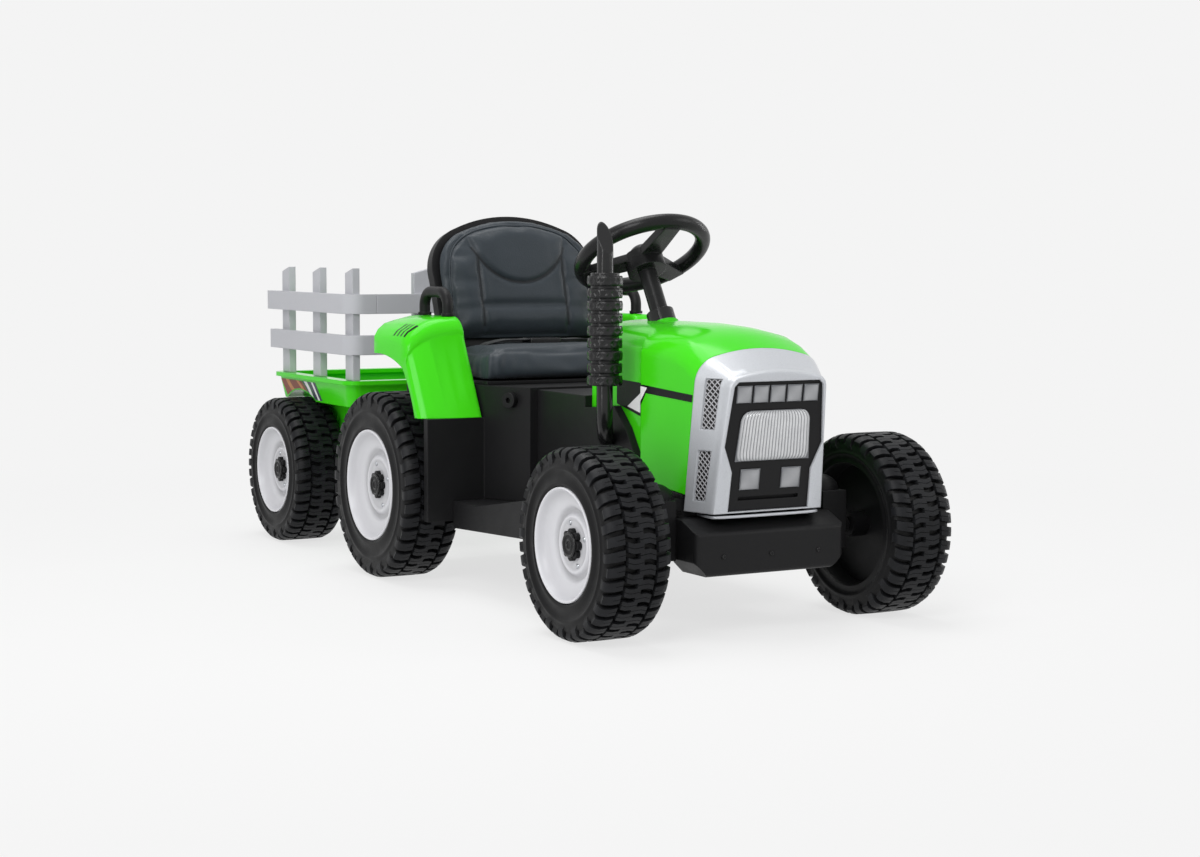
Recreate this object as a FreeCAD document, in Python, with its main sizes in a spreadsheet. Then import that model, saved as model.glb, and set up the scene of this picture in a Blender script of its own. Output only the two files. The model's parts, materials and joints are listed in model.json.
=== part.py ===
"""Battery ride-on tractor toy with a fenced trailer, built as a parametric document.

Frame: +X forwards, +Y to the driver's left, +Z up.  The origin is on the ground under the middle
of the bounding box.  Lengths are millimetres and angles are degrees.
"""
import FreeCAD
import Part
import Sketcher
import math
import os
import re

Vector = FreeCAD.Vector
Y_AXIS = Vector(0, 1, 0)

SIZES = {
    # whole toy
    "overall_length": 1289.5,
    "wheelbase": 602.5,
    "trailer_axle_gap": 446.2,
    "wall": 4.0,
    "seam_gap": 0.3,
    "running_gap": 0.08,
    "overrun": 20.0,
    # wheels
    "front_tyre_radius": 121.6,
    "front_tyre_width": 90.0,
    "front_outer_half": 260.4,
    "rear_tyre_radius": 137.7,
    "rear_tyre_width": 88.0,
    "rear_outer_half": 257.0,
    "trailer_tyre_radius": 119.1,
    "trailer_tyre_width": 87.0,
    "trailer_outer_half": 236.6,
    "tread_depth": 7.0,
    "lug_count": 40,
    "lug_length": 11.5,
    "lug_root": 3.0,
    "lug_wrap": 20.0,
    "shoulder": 13.0,
    "bead": 4.0,
    "rim_share": 0.6,
    "mouth_share": 0.66,
    "sidewall_share": 0.87,
    "hub_radius": 17.0,
    "hub_setback": 3.0,
    "web_setback": 30.0,
    "web": 5.0,
    "rim_depth": 26.0,
    "rim_plate": 7.0,
    "rim_lip": 3.0,
    "rim_web_share": 0.62,
    "rim_bowl_share": 0.82,
    "rim_back_share": 0.84,
    "rim_ring_share": 0.55,
    "rim_plate_share": 0.52,
    "rim_edge": 8.0,
    "bowl_depth": 15.0,
    "bowl_foot_depth": 22.0,
    "cap_radius": 15.0,
    "cap_height": 8.0,
    "cap_lobes": 8,
    "cap_lobe_radius": 5.5,
    "cap_lobe_share": 0.8,
    "axle_radius": 6.0,
    "axle_end_gap": 1.0,
    # front axle and steering linkage
    "beam_front": 31.6,
    "beam_rear": 42.4,
    "beam_half": 150.0,
    "beam_bottom": 96.0,
    "beam_top": 172.0,
    "beam_recess_half": 113.0,
    "beam_recess": 15.0,
    "yoke_plate": 16.0,
    "yoke_inner_half": 94.0,
    "yoke_front_wall": 10.0,
    "kingpin_half": 128.0,
    "kingpin_radius": 6.0,
    "kingpin_seat": 12.0,
    "kingpin_dome_radius": 26.0,
    "kingpin_dome_rise": 20.0,
    "knuckle_radius": 15.0,
    "stub_collar_radius": 9.0,
    "arm_length": 54.4,
    "arm_width": 16.0,
    "arm_thickness": 8.0,
    "arm_bottom": 143.3,
    "arm_pin_radius": 4.0,
    "arm_pin_drop": 9.5,
    "tie_thickness": 5.0,
    "tie_half_length": 142.0,
    "tie_width": 17.0,
    "tie_slot_half": 4.9,
    "tie_slot_back": 5.0,
    "tie_slot_front": 8.4,
    "tie_tab_half": 16.0,
    "tie_tab_length": 41.0,
    "crank_slot_half": 4.9,
    "crank_slot_length": 24.0,
    "crank_slot_back": 7.5,
    # steering wheel and column
    "column_setback": 191.4,
    "column_foot_height": 391.0,
    "column_tilt": 31.0,
    "column_radius": 12.5,
    "collar_radius": 19.0,
    "collar_height": 19.0,
    "boss_radius": 21.5,
    "boss_depth": 22.0,
    "collar_sink": 8.0,
    "steer_rod_radius": 6.0,
    "crank_clearance": 6.2,
    "steer_rod_channel": 14.0,
    "crank_radius": 32.8,
    "crank_thickness": 9.0,
    "crank_pin_radius": 4.0,
    "crank_pin_length": 21.0,
    "rim_plane_height": 104.0,
    "steer_rim_radius": 86.5,
    "steer_tube_radius": 10.7,
    "steer_hub_radius": 27.0,
    "steer_hub_foot": 76.0,
    "steer_hub_top": 103.0,
    "spoke_count": 3,
    "spoke_root_half": 17.0,
    "spoke_tip_half": 12.0,
    "spoke_thickness": 11.0,
    "horn_radius": 19.0,
    "horn_pocket_depth": 12.0,
    "horn_stem": 7.0,
    "horn_rise": 14.0,
    "horn_gap": 0.4,
    "horn_travel": 3.6,
    # hood, grille and dash
    "hood_rear_setback": 234.0,
    "hood_half": 97.0,
    "hood_rear_half": 85.0,
    "hood_nose_half": 95.0,
    "hood_top": 391.0,
    "hood_brow_top": 389.0,
    "hood_nose_top": 363.0,
    "hood_crown": 260.0,
    "hood_shoulder": 34.0,
    "hood_step_front": 84.0,
    "hood_step_back": 104.0,
    "hood_brow_setback": 40.0,
    "hood_low_front": 178.0,
    "hood_low_mid": 187.0,
    "hood_low_mid_setback": 80.0,
    "hood_cheek_height": 252.0,
    "hood_cheek_setback": 126.0,
    "hood_heel_height": 279.0,
    "hood_heel_setback": 156.0,
    "hood_tail_height": 272.0,
    "seam_low_overhang": 23.0,
    "seam_top_overhang": 49.6,
    "grille_foot_overhang": 70.2,
    "grille_head_overhang": 96.6,
    "grille_foot": 157.0,
    "grille_head": 338.0,
    "grille_foot_half": 85.0,
    "grille_head_half": 75.0,
    "grille_corner": 16.0,
    "grille_wall": 5.0,
    "grille_lip": 5.0,
    "grille_lip_depth": 10.0,
    "grille_lip_steps": 4,
    "vent_depth": 3.0,
    "vent_upper_top": 327.0,
    "vent_upper_foot": 263.0,
    "vent_lower_top": 236.0,
    "vent_lower_foot": 172.0,
    "vent_front_margin": 17.0,
    "vent_rear_margin": 13.0,
    "insert_thickness": 14.0,
    "insert_recess": 3.0,
    "insert_head_half": 67.0,
    "insert_wide_half": 74.0,
    "insert_neck_half": 60.0,
    "insert_foot_half": 61.0,
    "insert_foot_rise": 2.0,
    "insert_neck_rise": 53.0,
    "insert_wide_rise": 86.0,
    "insert_head_rise": 168.0,
    "insert_corner": 6.0,
    "lamp_pocket": 6.0,
    "lamp_proud": 1.0,
    "lamp_gap": 0.3,
    "row_lamp_count": 5,
    "row_lamp_width": 22.0,
    "row_lamp_height": 22.0,
    "row_lamp_pitch": 25.2,
    "row_lamp_rise": 141.0,
    "centre_lamp_half": 56.0,
    "centre_lamp_head_half": 52.0,
    "centre_lamp_foot": 66.0,
    "centre_lamp_top": 131.0,
    "centre_lamp_corner": 14.0,
    "low_lamp_width": 29.0,
    "low_lamp_height": 27.0,
    "low_lamp_centre": 31.0,
    "low_lamp_rise": 29.0,
    "slot_half": 46.0,
    "slot_height": 5.0,
    "slot_rise": 15.0,
    "dash_half": 66.0,
    "dash_foot": 294.0,
    "dash_top": 366.0,
    "dash_head_share": 0.85,
    "dash_thickness": 8.0,
    "button_radius": 11.0,
    "button_pocket": 6.0,
    "button_proud": 6.0,
    "button_offset": 34.0,
    "button_height": 330.0,
    "rocker_half_width": 10.0,
    "rocker_half_height": 15.0,
    "rocker_pocket": 6.0,
    "rocker_proud": 4.0,
    "rocker_gap": 1.6,
    "rocker_pin_radius": 1.5,
    "rocker_pin_setback": 2.6,
    "rocker_pin_seat": 3.0,
    # bumper and exhaust
    "bumper_front": 79.0,
    "bumper_half": 113.0,
    "bumper_foot_half": 94.0,
    "bumper_bottom": 79.0,
    "bumper_chin": 98.0,
    "bumper_top": 134.0,
    "bumper_back_top": 149.0,
    "bumper_ledge": 36.0,
    "bumper_corner": 8.0,
    "stack_setback": 130.0,
    "stack_half": 125.0,
    "stack_foot": 309.0,
    "stack_head": 456.0,
    "stack_radius": 22.5,
    "stack_groove": 3.5,
    "stack_ring_count": 9,
    "stack_ring_share": 0.78,
    "pipe_radius": 10.8,
    "pipe_tip": 523.0,
    "pipe_tip_cut": 42.0,
    "pipe_elbow": 244.0,
    "pipe_bend": 40.0,
    "pipe_tail_drop": 16.0,
    "pipe_tail_back": 60.0,
    # lower body and seat base
    "tunnel_half": 96.0,
    "floor_height": 104.0,
    "tunnel_top": 288.0,
    "deck_thickness": 5.2,
    "deck_front": 17.0,
    "deck_rear": 100.0,
    "step_half": 194.0,
    "step_front_setback": 172.0,
    "step_bottom": 88.0,
    "step_toe_bottom": 100.0,
    "step_top": 127.0,
    "step_toe_top": 150.0,
    "step_toe_length": 55.0,
    "step_heel_length": 75.0,
    "step_corner": 18.0,
    "base_half": 144.0,
    "base_rear": 127.0,
    "base_front": 158.0,
    "base_nose": 230.0,
    "base_nose_half": 108.0,
    "base_bottom": 98.0,
    "base_top": 291.0,
    "base_corner": 22.0,
    "guard_rear": 145.0,
    "guard_front": 157.0,
    "guard_half": 234.0,
    "guard_top": 245.0,
    "hitch_overhang": 157.0,
    "tongue_half": 24.0,
    "tongue_bottom": 128.0,
    "tongue_thickness": 12.0,
    "tongue_tail": 20.0,
    "hitch_pin_radius": 7.0,
    "hitch_head_radius": 12.0,
    "hitch_head_height": 6.0,
    "gearbox_radius": 31.0,
    "gearbox_width": 44.0,
    "motor_radius": 18.5,
    "motor_length": 60.0,
    "motor_offset": 44.0,
    "motor_rise": 24.0,
    "motor_seat_share": 1.25,
    "battery_length": 90.0,
    "battery_width": 150.0,
    "battery_height": 98.0,
    "socket_radius": 11.0,
    "socket_length": 9.0,
    "socket_bore_radius": 4.0,
    "socket_bore_depth": 7.0,
    "socket_height": 272.0,
    "socket_share": 0.6,
    # pedal
    "pedal_length": 58.0,
    "pedal_width": 44.0,
    "pedal_thickness": 7.0,
    "pedal_front_setback": 190.0,
    "pedal_centre_half": 145.0,
    "pedal_rise": 20.0,
    "pedal_pin_radius": 5.0,
    # fenders and grab handles
    "fender_inner": 147.0,
    "fender_outer": 240.0,
    "fender_foot": 245.3,
    "fender_foot_front": 158.0,
    "fender_front_top": 97.6,
    "fender_top": 388.0,
    "fender_crest_front": 78.0,
    "fender_crest_rear": 18.0,
    "fender_tail": 36.0,
    "fender_tail_top": 380.0,
    "fender_tail_foot": 332.0,
    "fender_arch_x": 86.0,
    "fender_arch_z": 314.0,
    "fender_arch_front": 127.0,
    "fender_round": 26.0,
    "fender_side_round": 80.0,
    "fender_side_drop": 42.0,
    "fender_inner_round": 7.0,
    "fender_steps": 6,
    "handle_half": 160.0,
    "handle_front": 70.6,
    "handle_rear": -9.0,
    "handle_top": 431.0,
    "handle_radius": 8.0,
    "handle_bend": 22.0,
    "handle_foot_radius": 10.0,
    "handle_foot_height": 4.0,
    # seat
    "seat_half": 138.0,
    "seat_front": 155.0,
    "seat_rear": 72.0,
    "pan_thickness": 5.0,
    "cushion_front": 158.0,
    "cushion_rear": 14.0,
    "cushion_half": 136.0,
    "cushion_height": 46.0,
    "cushion_roll": 17.0,
    "cushion_drawn": 8.0,
    "cushion_crown": 6.0,
    "cushion_seam_share": 0.62,
    "channel_radius": 3.0,
    "back_lean": 15.0,
    "back_foot_x": 12.0,
    "back_foot_rise": 6.0,
    "back_height": 242.0,
    "back_half": 137.0,
    "back_waist_half": 131.0,
    "back_head_half": 92.0,
    "back_shoulder_share": 0.6,
    "back_shell_thickness": 24.0,
    "back_pad_thickness": 24.0,
    "back_pad_margin": 4.0,
    "back_pad_foot": 44.0,
    "back_pad_drawn": 5.0,
    "back_swell_share": 0.45,
    "back_seam_share": 0.42,
    "belt_width": 25.0,
    "belt_thickness": 2.0,
    "belt_reach": 104.0,
    "belt_place": 62.0,
    "buckle_length": 52.0,
    "buckle_width": 32.0,
    "buckle_height": 11.0,
    "buckle_round_share": 1.5,
    # trailer
    "tub_front": 222.0,
    "tub_rear": 98.0,
    "tub_half": 190.0,
    "tub_foot_front": 186.0,
    "tub_foot_half": 172.0,
    "tub_bottom": 172.0,
    "tub_wing": 234.0,
    "tub_top": 277.0,
    "tub_corner": 20.0,
    "tub_floor": 5.0,
    "tub_flange": 6.0,
    "tub_flange_thickness": 7.0,
    "tub_ledge": 12.0,
    "well_clearance": 12.0,
    "well_wall": 3.0,
    "well_inner": 8.0,
    "frame_half": 24.0,
    "frame_height": 24.0,
    "frame_rear": 70.0,
    "frame_wall": 4.0,
    "eye_radius": 20.0,
    "eye_thickness": 12.0,
    "eye_neck_share": 2.4,
    "eye_neck_half_share": 0.8,
    "hanger_half": 112.0,
    "hanger_thickness": 10.0,
    "hanger_width": 46.0,
    "hanger_drop": 12.0,
    "fence_half": 196.0,
    "fence_thickness": 12.0,
    "fence_front": 228.0,
    "fence_bend": 30.0,
    "fence_split_half": 146.0,
    "upper_rail_foot": 383.0,
    "upper_rail_top": 414.0,
    "lower_rail_foot": 318.0,
    "lower_rail_top": 349.0,
    "lower_rail_setback": 12.0,
    "post_width": 30.0,
    "post_thickness": 12.0,
    "post_top": 455.0,
    "post_slant": 8.0,
    "post_front": 250.3,
    "post_rear_margin": 53.5,
    "side_post_count": 3,
    "front_post_half": 60.0,
}

PLACES = {
    "front_axle_x": "overall_length / 2 - front_tyre_radius",
    "rear_axle_x": "front_axle_x - wheelbase",
    "trailer_axle_x": "rear_axle_x - trailer_axle_gap",
    "rear_end_x": "-overall_length / 2",
    "hitch_x": "rear_axle_x - hitch_overhang",
    "cap_seat": "rim_depth - rim_plate - 2 * seam_gap",
    "column_x": "front_axle_x - column_setback",
    "hood_rear_x": "front_axle_x - hood_rear_setback",
    "tie_top": "arm_bottom - seam_gap",
    "crank_drop": "tie_top + crank_clearance + (crank_radius + crank_pin_radius) * sin(column_tilt)",
    "steer_rod_depth": "(column_foot_height - crank_drop) / cos(column_tilt)",
    "arm_pin_x": "front_axle_x - arm_length",
    "grille_foot_x": "front_axle_x + grille_foot_overhang",
    "grille_tilt": "atan((grille_head_overhang - grille_foot_overhang) / (grille_head - grille_foot))",
    "insert_face": "-insert_recess",
    "lamp_back": "insert_face - lamp_pocket + lamp_gap",
    "tunnel_rear_x": "base_nose_x + seam_gap",
    "base_nose_x": "rear_axle_x + base_nose",
    "base_front_x": "rear_axle_x + base_front",
    "step_front_x": "front_axle_x - step_front_setback",
    "step_rear_x": "base_front_x + seam_gap",
    "pan_top": "base_top + seam_gap + pan_thickness",
    "cushion_foot": "pan_top + seam_gap",
    "cushion_top": "cushion_foot + cushion_height",
    "stack_x": "front_axle_x - stack_setback",
    "tub_floor_z": "tub_bottom + tub_floor",
    "well_radius": "trailer_tyre_radius + well_clearance",
    "well_side": "trailer_outer_half - trailer_tyre_width - well_inner",
    "frame_top": "tub_bottom - seam_gap",
}

# The three axles: name, X place, and which named sizes they take.
WHEEL_SETS = ("front", "rear", "trailer")

# Where the hood is sectioned between its brow and the grille seam, as shares of that stretch.
NOSE_SHARES = (0.0, 0.4, 0.7, 1.0)
# Where the hood's inside ends, just past the seam.
NOSE_PAST_SHARES = (1.08,)

# Heights of the sewn channels in the seat back, as shares of its height: middle panel, then sides.
MIDDLE_CHANNEL_SHARES = (0.36, 0.54)
SIDE_CHANNEL_SHARES = (0.3, 0.45, 0.6)

doc = FreeCAD.newDocument("ride_on_tractor")
sizes = doc.addObject("Spreadsheet::Sheet", "sizes")
places = doc.addObject("Spreadsheet::Sheet", "places")


def with_sheets(expression, home=None):
    """Write the sheet's name before each alias, apart from aliases of the home sheet."""
    def qualify(match):
        word = match.group(0)
        if word in SIZES:
            return "sizes." + word
        if word in PLACES and home != "places":
            return "places." + word
        return word
    return re.sub(r"[A-Za-z_]\w*", qualify, str(expression))


def fill_sheets():
    """Driving sizes are plain numbers, derived places are formulas on them."""
    for row, (alias, value) in enumerate(SIZES.items(), 1):
        sizes.set(f"A{row}", alias)
        sizes.set(f"B{row}", str(value))
        sizes.setAlias(f"B{row}", alias)
    for row, (alias, formula) in enumerate(PLACES.items(), 1):
        places.set(f"A{row}", alias)
        places.setAlias(f"B{row}", alias)
    for row, (alias, formula) in enumerate(PLACES.items(), 1):
        places.set(f"B{row}", "=" + with_sheets(formula, "places"))
    doc.recompute()


def mm(alias):
    """Read one named size or place."""
    sheet = sizes if alias in SIZES else places
    value = sheet.get(alias)
    return float(getattr(value, "Value", value))


def bind(item, **expressions):
    """Tie properties to the sheets; a double underscore stands for a dot."""
    for path, expression in expressions.items():
        item.setExpression(path.replace("__", "."), with_sheets(expression))
    return item


def put(item, x="0", y="0", z="0", tilt=None):
    """Place an item, turned about Y by a tilt in degrees if one is given."""
    if tilt is not None:
        item.Placement = FreeCAD.Placement(Vector(), FreeCAD.Rotation(Y_AXIS, 1))
        bind(item, Placement__Rotation__Angle=tilt)
    return bind(item, Placement__Base__x=x, Placement__Base__y=y, Placement__Base__z=z)


def block(name, x, y, z):
    """Box between pairs of X, Y and Z expressions."""
    item = doc.addObject("Part::Box", name)
    bind(item, Length=f"{x[1]} - ({x[0]})", Width=f"{y[1]} - ({y[0]})", Height=f"{z[1]} - ({z[0]})")
    return put(item, x[0], y[0], z[0])


def rod(name, radius, length, x="0", y="0", z="0", along="Z"):
    """Round bar that starts at a point and runs along a positive axis."""
    item = doc.addObject("Part::Cylinder", name)
    turn = {"X": FreeCAD.Rotation(Y_AXIS, 90), "Y": FreeCAD.Rotation(Vector(1, 0, 0), -90)}
    if along in turn:
        item.Placement = FreeCAD.Placement(Vector(), turn[along])
    bind(item, Radius=radius, Height=length)
    return put(item, x, y, z)


def fuse(name, *items):
    """Join items into one solid."""
    item = doc.addObject("Part::MultiFuse", name)
    item.Shapes = list(items)
    item.Refine = True
    return item


def cut(name, base, *tools):
    """Take one or more tools out of a base."""
    item = doc.addObject("Part::Cut", name)
    item.Base = base
    item.Tool = tools[0] if len(tools) == 1 else fuse(name + "_tools", *tools)
    item.Refine = True
    return item


def mirror(name, source):
    """Copy to the other side of the XZ plane."""
    item = doc.addObject("Part::Mirroring", name)
    item.Source = source
    item.Normal = Y_AXIS
    return item


def tilted(name, source, x, z, tilt):
    """Carry a group built about its own origin to a tilted seat on the centre plane."""
    item = doc.addObject("Part::Compound", name)
    item.Links = [source]
    return put(item, x, "0", z, tilt)


def body(name):
    return doc.addObject("PartDesign::Body", name)


def origin_feature(owner, role):
    return next(item for item in owner.Origin.OriginFeatures if item.Role == role)


def new_sketch(owner, plane, offset=None, turn=None):
    """Sketch on one of the body's own origin planes, moved along or turned in it if asked."""
    sketch = owner.newObject("Sketcher::SketchObject", owner.Name + "_sketch")
    sketch.AttachmentSupport = [(origin_feature(owner, plane), "")]
    sketch.MapMode = "FlatFace"
    if turn is not None:
        sketch.AttachmentOffset = FreeCAD.Placement(Vector(), FreeCAD.Rotation(Y_AXIS, 1))
        bind(sketch, AttachmentOffset__Rotation__Angle=turn)
    if offset is not None:
        bind(sketch, AttachmentOffset__Base__z=offset)
    return sketch


def polygon(sketch, points):
    """Closed outline through points given as pairs of expressions."""
    count = len(points)
    first = sketch.GeometryCount
    start = [Vector(math.cos(math.tau * i / count), math.sin(math.tau * i / count), 0)
             for i in range(count)]
    for i in range(count):
        sketch.addGeometry(Part.LineSegment(start[i], start[(i + 1) % count]), False)
    for i in range(count):
        following = first + (i + 1) % count
        sketch.addConstraint(Sketcher.Constraint("Coincident", first + i, 2, following, 1))
    for i, point in enumerate(points):
        for kind, expression, value in zip(("DistanceX", "DistanceY"), point, start[i]):
            place = sketch.addConstraint(Sketcher.Constraint(kind, -1, 1, first + i, 1, value))
            sketch.setExpression(f"Constraints[{place}]", with_sheets(expression))
    return sketch


def circle(sketch, x, y, radius):
    """Circle whose centre and radius are expressions."""
    index = sketch.addGeometry(Part.Circle(Vector(1, 1, 0), Vector(0, 0, 1), 1), False)
    rules = (("DistanceX", (-1, 1, index, 3, 1), x), ("DistanceY", (-1, 1, index, 3, 1), y),
             ("Radius", (index, 1), radius))
    for kind, values, expression in rules:
        place = sketch.addConstraint(Sketcher.Constraint(kind, *values))
        sketch.setExpression(f"Constraints[{place}]", with_sheets(expression))
    return sketch


def pad(owner, sketch, length, symmetric=False, backwards=False, kind="Pad"):
    """Pad or pocket a sketch of the body by a bound length."""
    feature = owner.newObject("PartDesign::" + kind, owner.Name + "_" + kind.lower())
    feature.Profile = sketch
    feature.SideType = "Symmetric" if symmetric else "One side"
    feature.Reversed = backwards
    return bind(feature, Length=length)


def revolve(owner, sketch):
    """Full turn of a sketch about its own vertical axis."""
    feature = owner.newObject("PartDesign::Revolution", owner.Name + "_revolution")
    feature.Profile = sketch
    feature.ReferenceAxis = (sketch, ["V_Axis"])
    feature.Angle = 360
    return feature


def ring_of(owner, feature, sketch, count):
    """Repeat a feature evenly round the sketch's vertical axis."""
    pattern = owner.newObject("PartDesign::PolarPattern", owner.Name + "_ring")
    pattern.Originals = [feature]
    pattern.Axis = (sketch, ["V_Axis"])
    pattern.Angle = 360
    bind(pattern, Occurrences=count)
    owner.Tip = pattern
    return pattern


def soften(owner, radius, chosen):
    """Round the edges of a body for which chosen(edge) is true."""
    doc.recompute()
    base = owner.Tip
    names = [f"Edge{i}" for i, edge in enumerate(base.Shape.Edges, 1) if chosen(edge)]
    feature = owner.newObject("PartDesign::Fillet", owner.Name + "_fillet")
    feature.Base = (base, names)
    return bind(feature, Radius=radius)


def runs_along(edge, axis):
    """True for a straight edge that runs along X, Y or Z."""
    if edge.Curve.TypeId != "Part::GeomLine":
        return False
    return abs(getattr(edge.Curve.Direction, axis.lower())) > math.cos(math.radians(1))


def prism(name, plane, points, length, offset=None, symmetric=False, backwards=False):
    """Body made by padding one outline."""
    owner = body(name)
    pad(owner, polygon(new_sketch(owner, plane, offset), points), length, symmetric, backwards)
    return owner


def shaped(name, shape):
    """Document object for a form that only curve and loft functions give."""
    item = doc.addObject("Part::Feature", name)
    item.Shape = shape
    return item


def wire_of(points, closed=True):
    """Straight-sided wire through vectors."""
    return Part.makePolygon(points + points[:1] if closed else points)


def arc(start, middle, end):
    return Part.Arc(start, middle, end).toShape()


def line(start, end):
    return Part.LineSegment(start, end).toShape()


def rounded_box_wire(x0, x1, y0, y1, z, radius):
    """Rectangle at one height with four round corners."""
    chord = radius * (1 - math.sqrt(2) / 2)
    corners = ((x1, y0, -1, 1), (x1, y1, -1, -1), (x0, y1, 1, -1), (x0, y0, 1, 1))
    stops = []
    for turn, (x, y, sx, sy) in enumerate(corners):
        beside_x = Vector(x + sx * radius, y, z)
        beside_y = Vector(x, y + sy * radius, z)
        middle = Vector(x + sx * chord, y + sy * chord, z)
        stops.append((beside_x, middle, beside_y) if turn % 2 == 0 else (beside_y, middle, beside_x))
    edges = []
    for turn, (start, middle, end) in enumerate(stops):
        edges.append(arc(start, middle, end))
        edges.append(line(end, stops[(turn + 1) % len(stops)][0]))
    return Part.Wire(edges)


# Wheels


def tyre(name, side):
    """Blow-moulded tyre: tread ring, web and hub, with two staggered rows of lugs."""
    owner = body(name)
    radius, half = f"{side}_tyre_radius", f"{side}_tyre_width / 2"
    bore = "axle_radius + running_gap"
    tread = f"{radius} - tread_depth"
    rim = f"{radius} * rim_share"
    mouth = f"{radius} * mouth_share"
    wall = f"{radius} * sidewall_share"
    inner = f"-{half}"
    outer_hub = f"{half} - rim_depth"
    section = new_sketch(owner, "XY_Plane")
    polygon(section, [
        (bore, f"{inner} + hub_setback"), ("hub_radius", f"{inner} + hub_setback"),
        ("hub_radius", f"{inner} + web_setback"), (mouth, f"{inner} + web_setback"),
        (mouth, f"{inner} + bead"), (f"{mouth} + bead", inner), (wall, inner),
        (tread, f"{inner} + shoulder"), (tread, f"{half} - shoulder"), (wall, half),
        (f"{rim} + bead", half), (rim, f"{half} - bead"), (rim, f"{inner} + web_setback + web"),
        ("hub_radius", f"{inner} + web_setback + web"), ("hub_radius", outer_hub), (bore, outer_hub)])
    revolve(owner, section)
    for sign, turn in ((1, "0"), (-1, "180 / lug_count")):
        lug = new_sketch(owner, "XY_Plane", turn=turn)
        edge = f"{sign} * ({half})"
        polygon(lug, [
            (f"{tread} - lug_root", f"{-sign} * lug_root"), (radius, f"{-sign} * lug_root"),
            (radius, f"{edge} - {sign} * shoulder"), (f"{radius} - shoulder", edge),
            (f"{radius} - lug_wrap", edge), (f"{radius} - lug_wrap", f"{edge} - {sign} * lug_root")])
        ring_of(owner, pad(owner, lug, "lug_length", symmetric=True), lug, "lug_count")
    return owner


def rim(name, side):
    """White dished rim: lip, bowl, raised ring and hub plate."""
    owner = body(name)
    half = f"{side}_tyre_width / 2"
    edge = f"({side}_tyre_radius * rim_share - seam_gap)"
    bore = "axle_radius + running_gap"
    back = f"{half} - rim_depth + seam_gap"
    plate = f"{half} - cap_seat - seam_gap"
    section = new_sketch(owner, "XY_Plane")
    polygon(section, [
        (bore, back), (f"rim_web_share * {edge}", back),
        (f"rim_back_share * {edge}", f"{half} - bowl_depth - wall"),
        (edge, f"{half} - rim_edge"), (edge, half), (f"{edge} - rim_lip", half),
        (f"rim_bowl_share * {edge}", f"{half} - bowl_depth"),
        (f"rim_web_share * {edge}", f"{half} - bowl_foot_depth"),
        (f"rim_ring_share * {edge}", f"{half} - bowl_foot_depth"), (f"rim_plate_share * {edge}", plate),
        (bore, plate)])
    revolve(owner, section)
    return owner


def hub_cap(name, side):
    """Black lobed cap that hides the end of the axle."""
    owner = body(name)
    seat = f"{side}_tyre_width / 2 - cap_seat"
    core = new_sketch(owner, "XZ_Plane", f"-({seat})")
    circle(core, "0", "0", "cap_radius")
    pad(owner, core, "cap_height", backwards=True)
    lobe = new_sketch(owner, "XZ_Plane", f"-({seat})")
    circle(lobe, "cap_radius", "0", "cap_lobe_radius")
    feature = pad(owner, lobe, "cap_height * cap_lobe_share", backwards=True)
    pattern = owner.newObject("PartDesign::PolarPattern", name + "_ring")
    pattern.Originals = [feature]
    pattern.Axis = (lobe, ["N_Axis"])
    pattern.Angle = 360
    bind(pattern, Occurrences="cap_lobes")
    owner.Tip = pattern
    return owner


def wheels():
    """Six wheels: each left one is built at its axle, each right one is its mirror image."""
    for side in WHEEL_SETS:
        middle = f"{side}_outer_half - {side}_tyre_width / 2"
        for piece, maker in (("tyre", tyre), ("rim", rim), ("hub_cap", hub_cap)):
            left = maker(f"{side}_{piece}_left", side)
            put(left, f"{side}_axle_x", middle, f"{side}_tyre_radius")
            node(left, f"{side}_{piece}_left")
            node(mirror(f"{side}_{piece}_right", left), f"{side}_{piece}_right")


def axles():
    """Steel rods of the rear wheels and of the trailer."""
    for side in ("rear", "trailer"):
        reach = f"{side}_outer_half - cap_seat - axle_end_gap"
        node(rod(f"{side}_axle", "axle_radius", f"2 * ({reach})", f"{side}_axle_x", f"-({reach})",
                 f"{side}_tyre_radius", "Y"))


# Front axle and steering linkage


def front_axle_beam():
    """Box beam with a recessed middle and an open yoke at each end, with a dome on each kingpin."""
    front, rear = "front_axle_x + beam_front", "front_axle_x - beam_rear"
    beam = block("beam_box", (rear, front), ("-beam_half", "beam_half"), ("beam_bottom", "beam_top"))
    domes, tools = [], []
    tools.append(block("beam_recess", (f"{front} - beam_recess", f"{front} + overrun"),
                       ("-beam_recess_half", "beam_recess_half"),
                       ("beam_bottom - overrun", "beam_top + overrun")))
    for sign, hand in ((1, "left"), (-1, "right")):
        near, far = "yoke_inner_half", "beam_half + overrun"
        span = (near, far) if sign > 0 else (f"-({far})", f"-{near}")
        tools.append(block("yoke_" + hand, (f"{rear} - overrun", f"{front} - yoke_front_wall"), span,
                           ("beam_bottom + yoke_plate", "beam_top - yoke_plate")))
        tools.append(rod("kingpin_hole_" + hand, "kingpin_radius + running_gap",
                         "beam_top - beam_bottom - 2 * (yoke_plate - kingpin_seat) + 2 * seam_gap",
                         "front_axle_x", f"{sign} * kingpin_half",
                         "beam_bottom + yoke_plate - kingpin_seat - seam_gap"))
        dome = doc.addObject("Part::Ellipsoid", "kingpin_dome_" + hand)
        bind(dome, Radius1="kingpin_dome_rise", Radius2="kingpin_dome_radius", Radius3="kingpin_dome_radius")
        dome.Angle1 = 0
        domes.append(put(dome, "front_axle_x", f"{sign} * kingpin_half", "beam_top"))
    return node(cut("front_axle_beam", fuse("beam_with_domes", beam, *domes), *tools))


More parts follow.
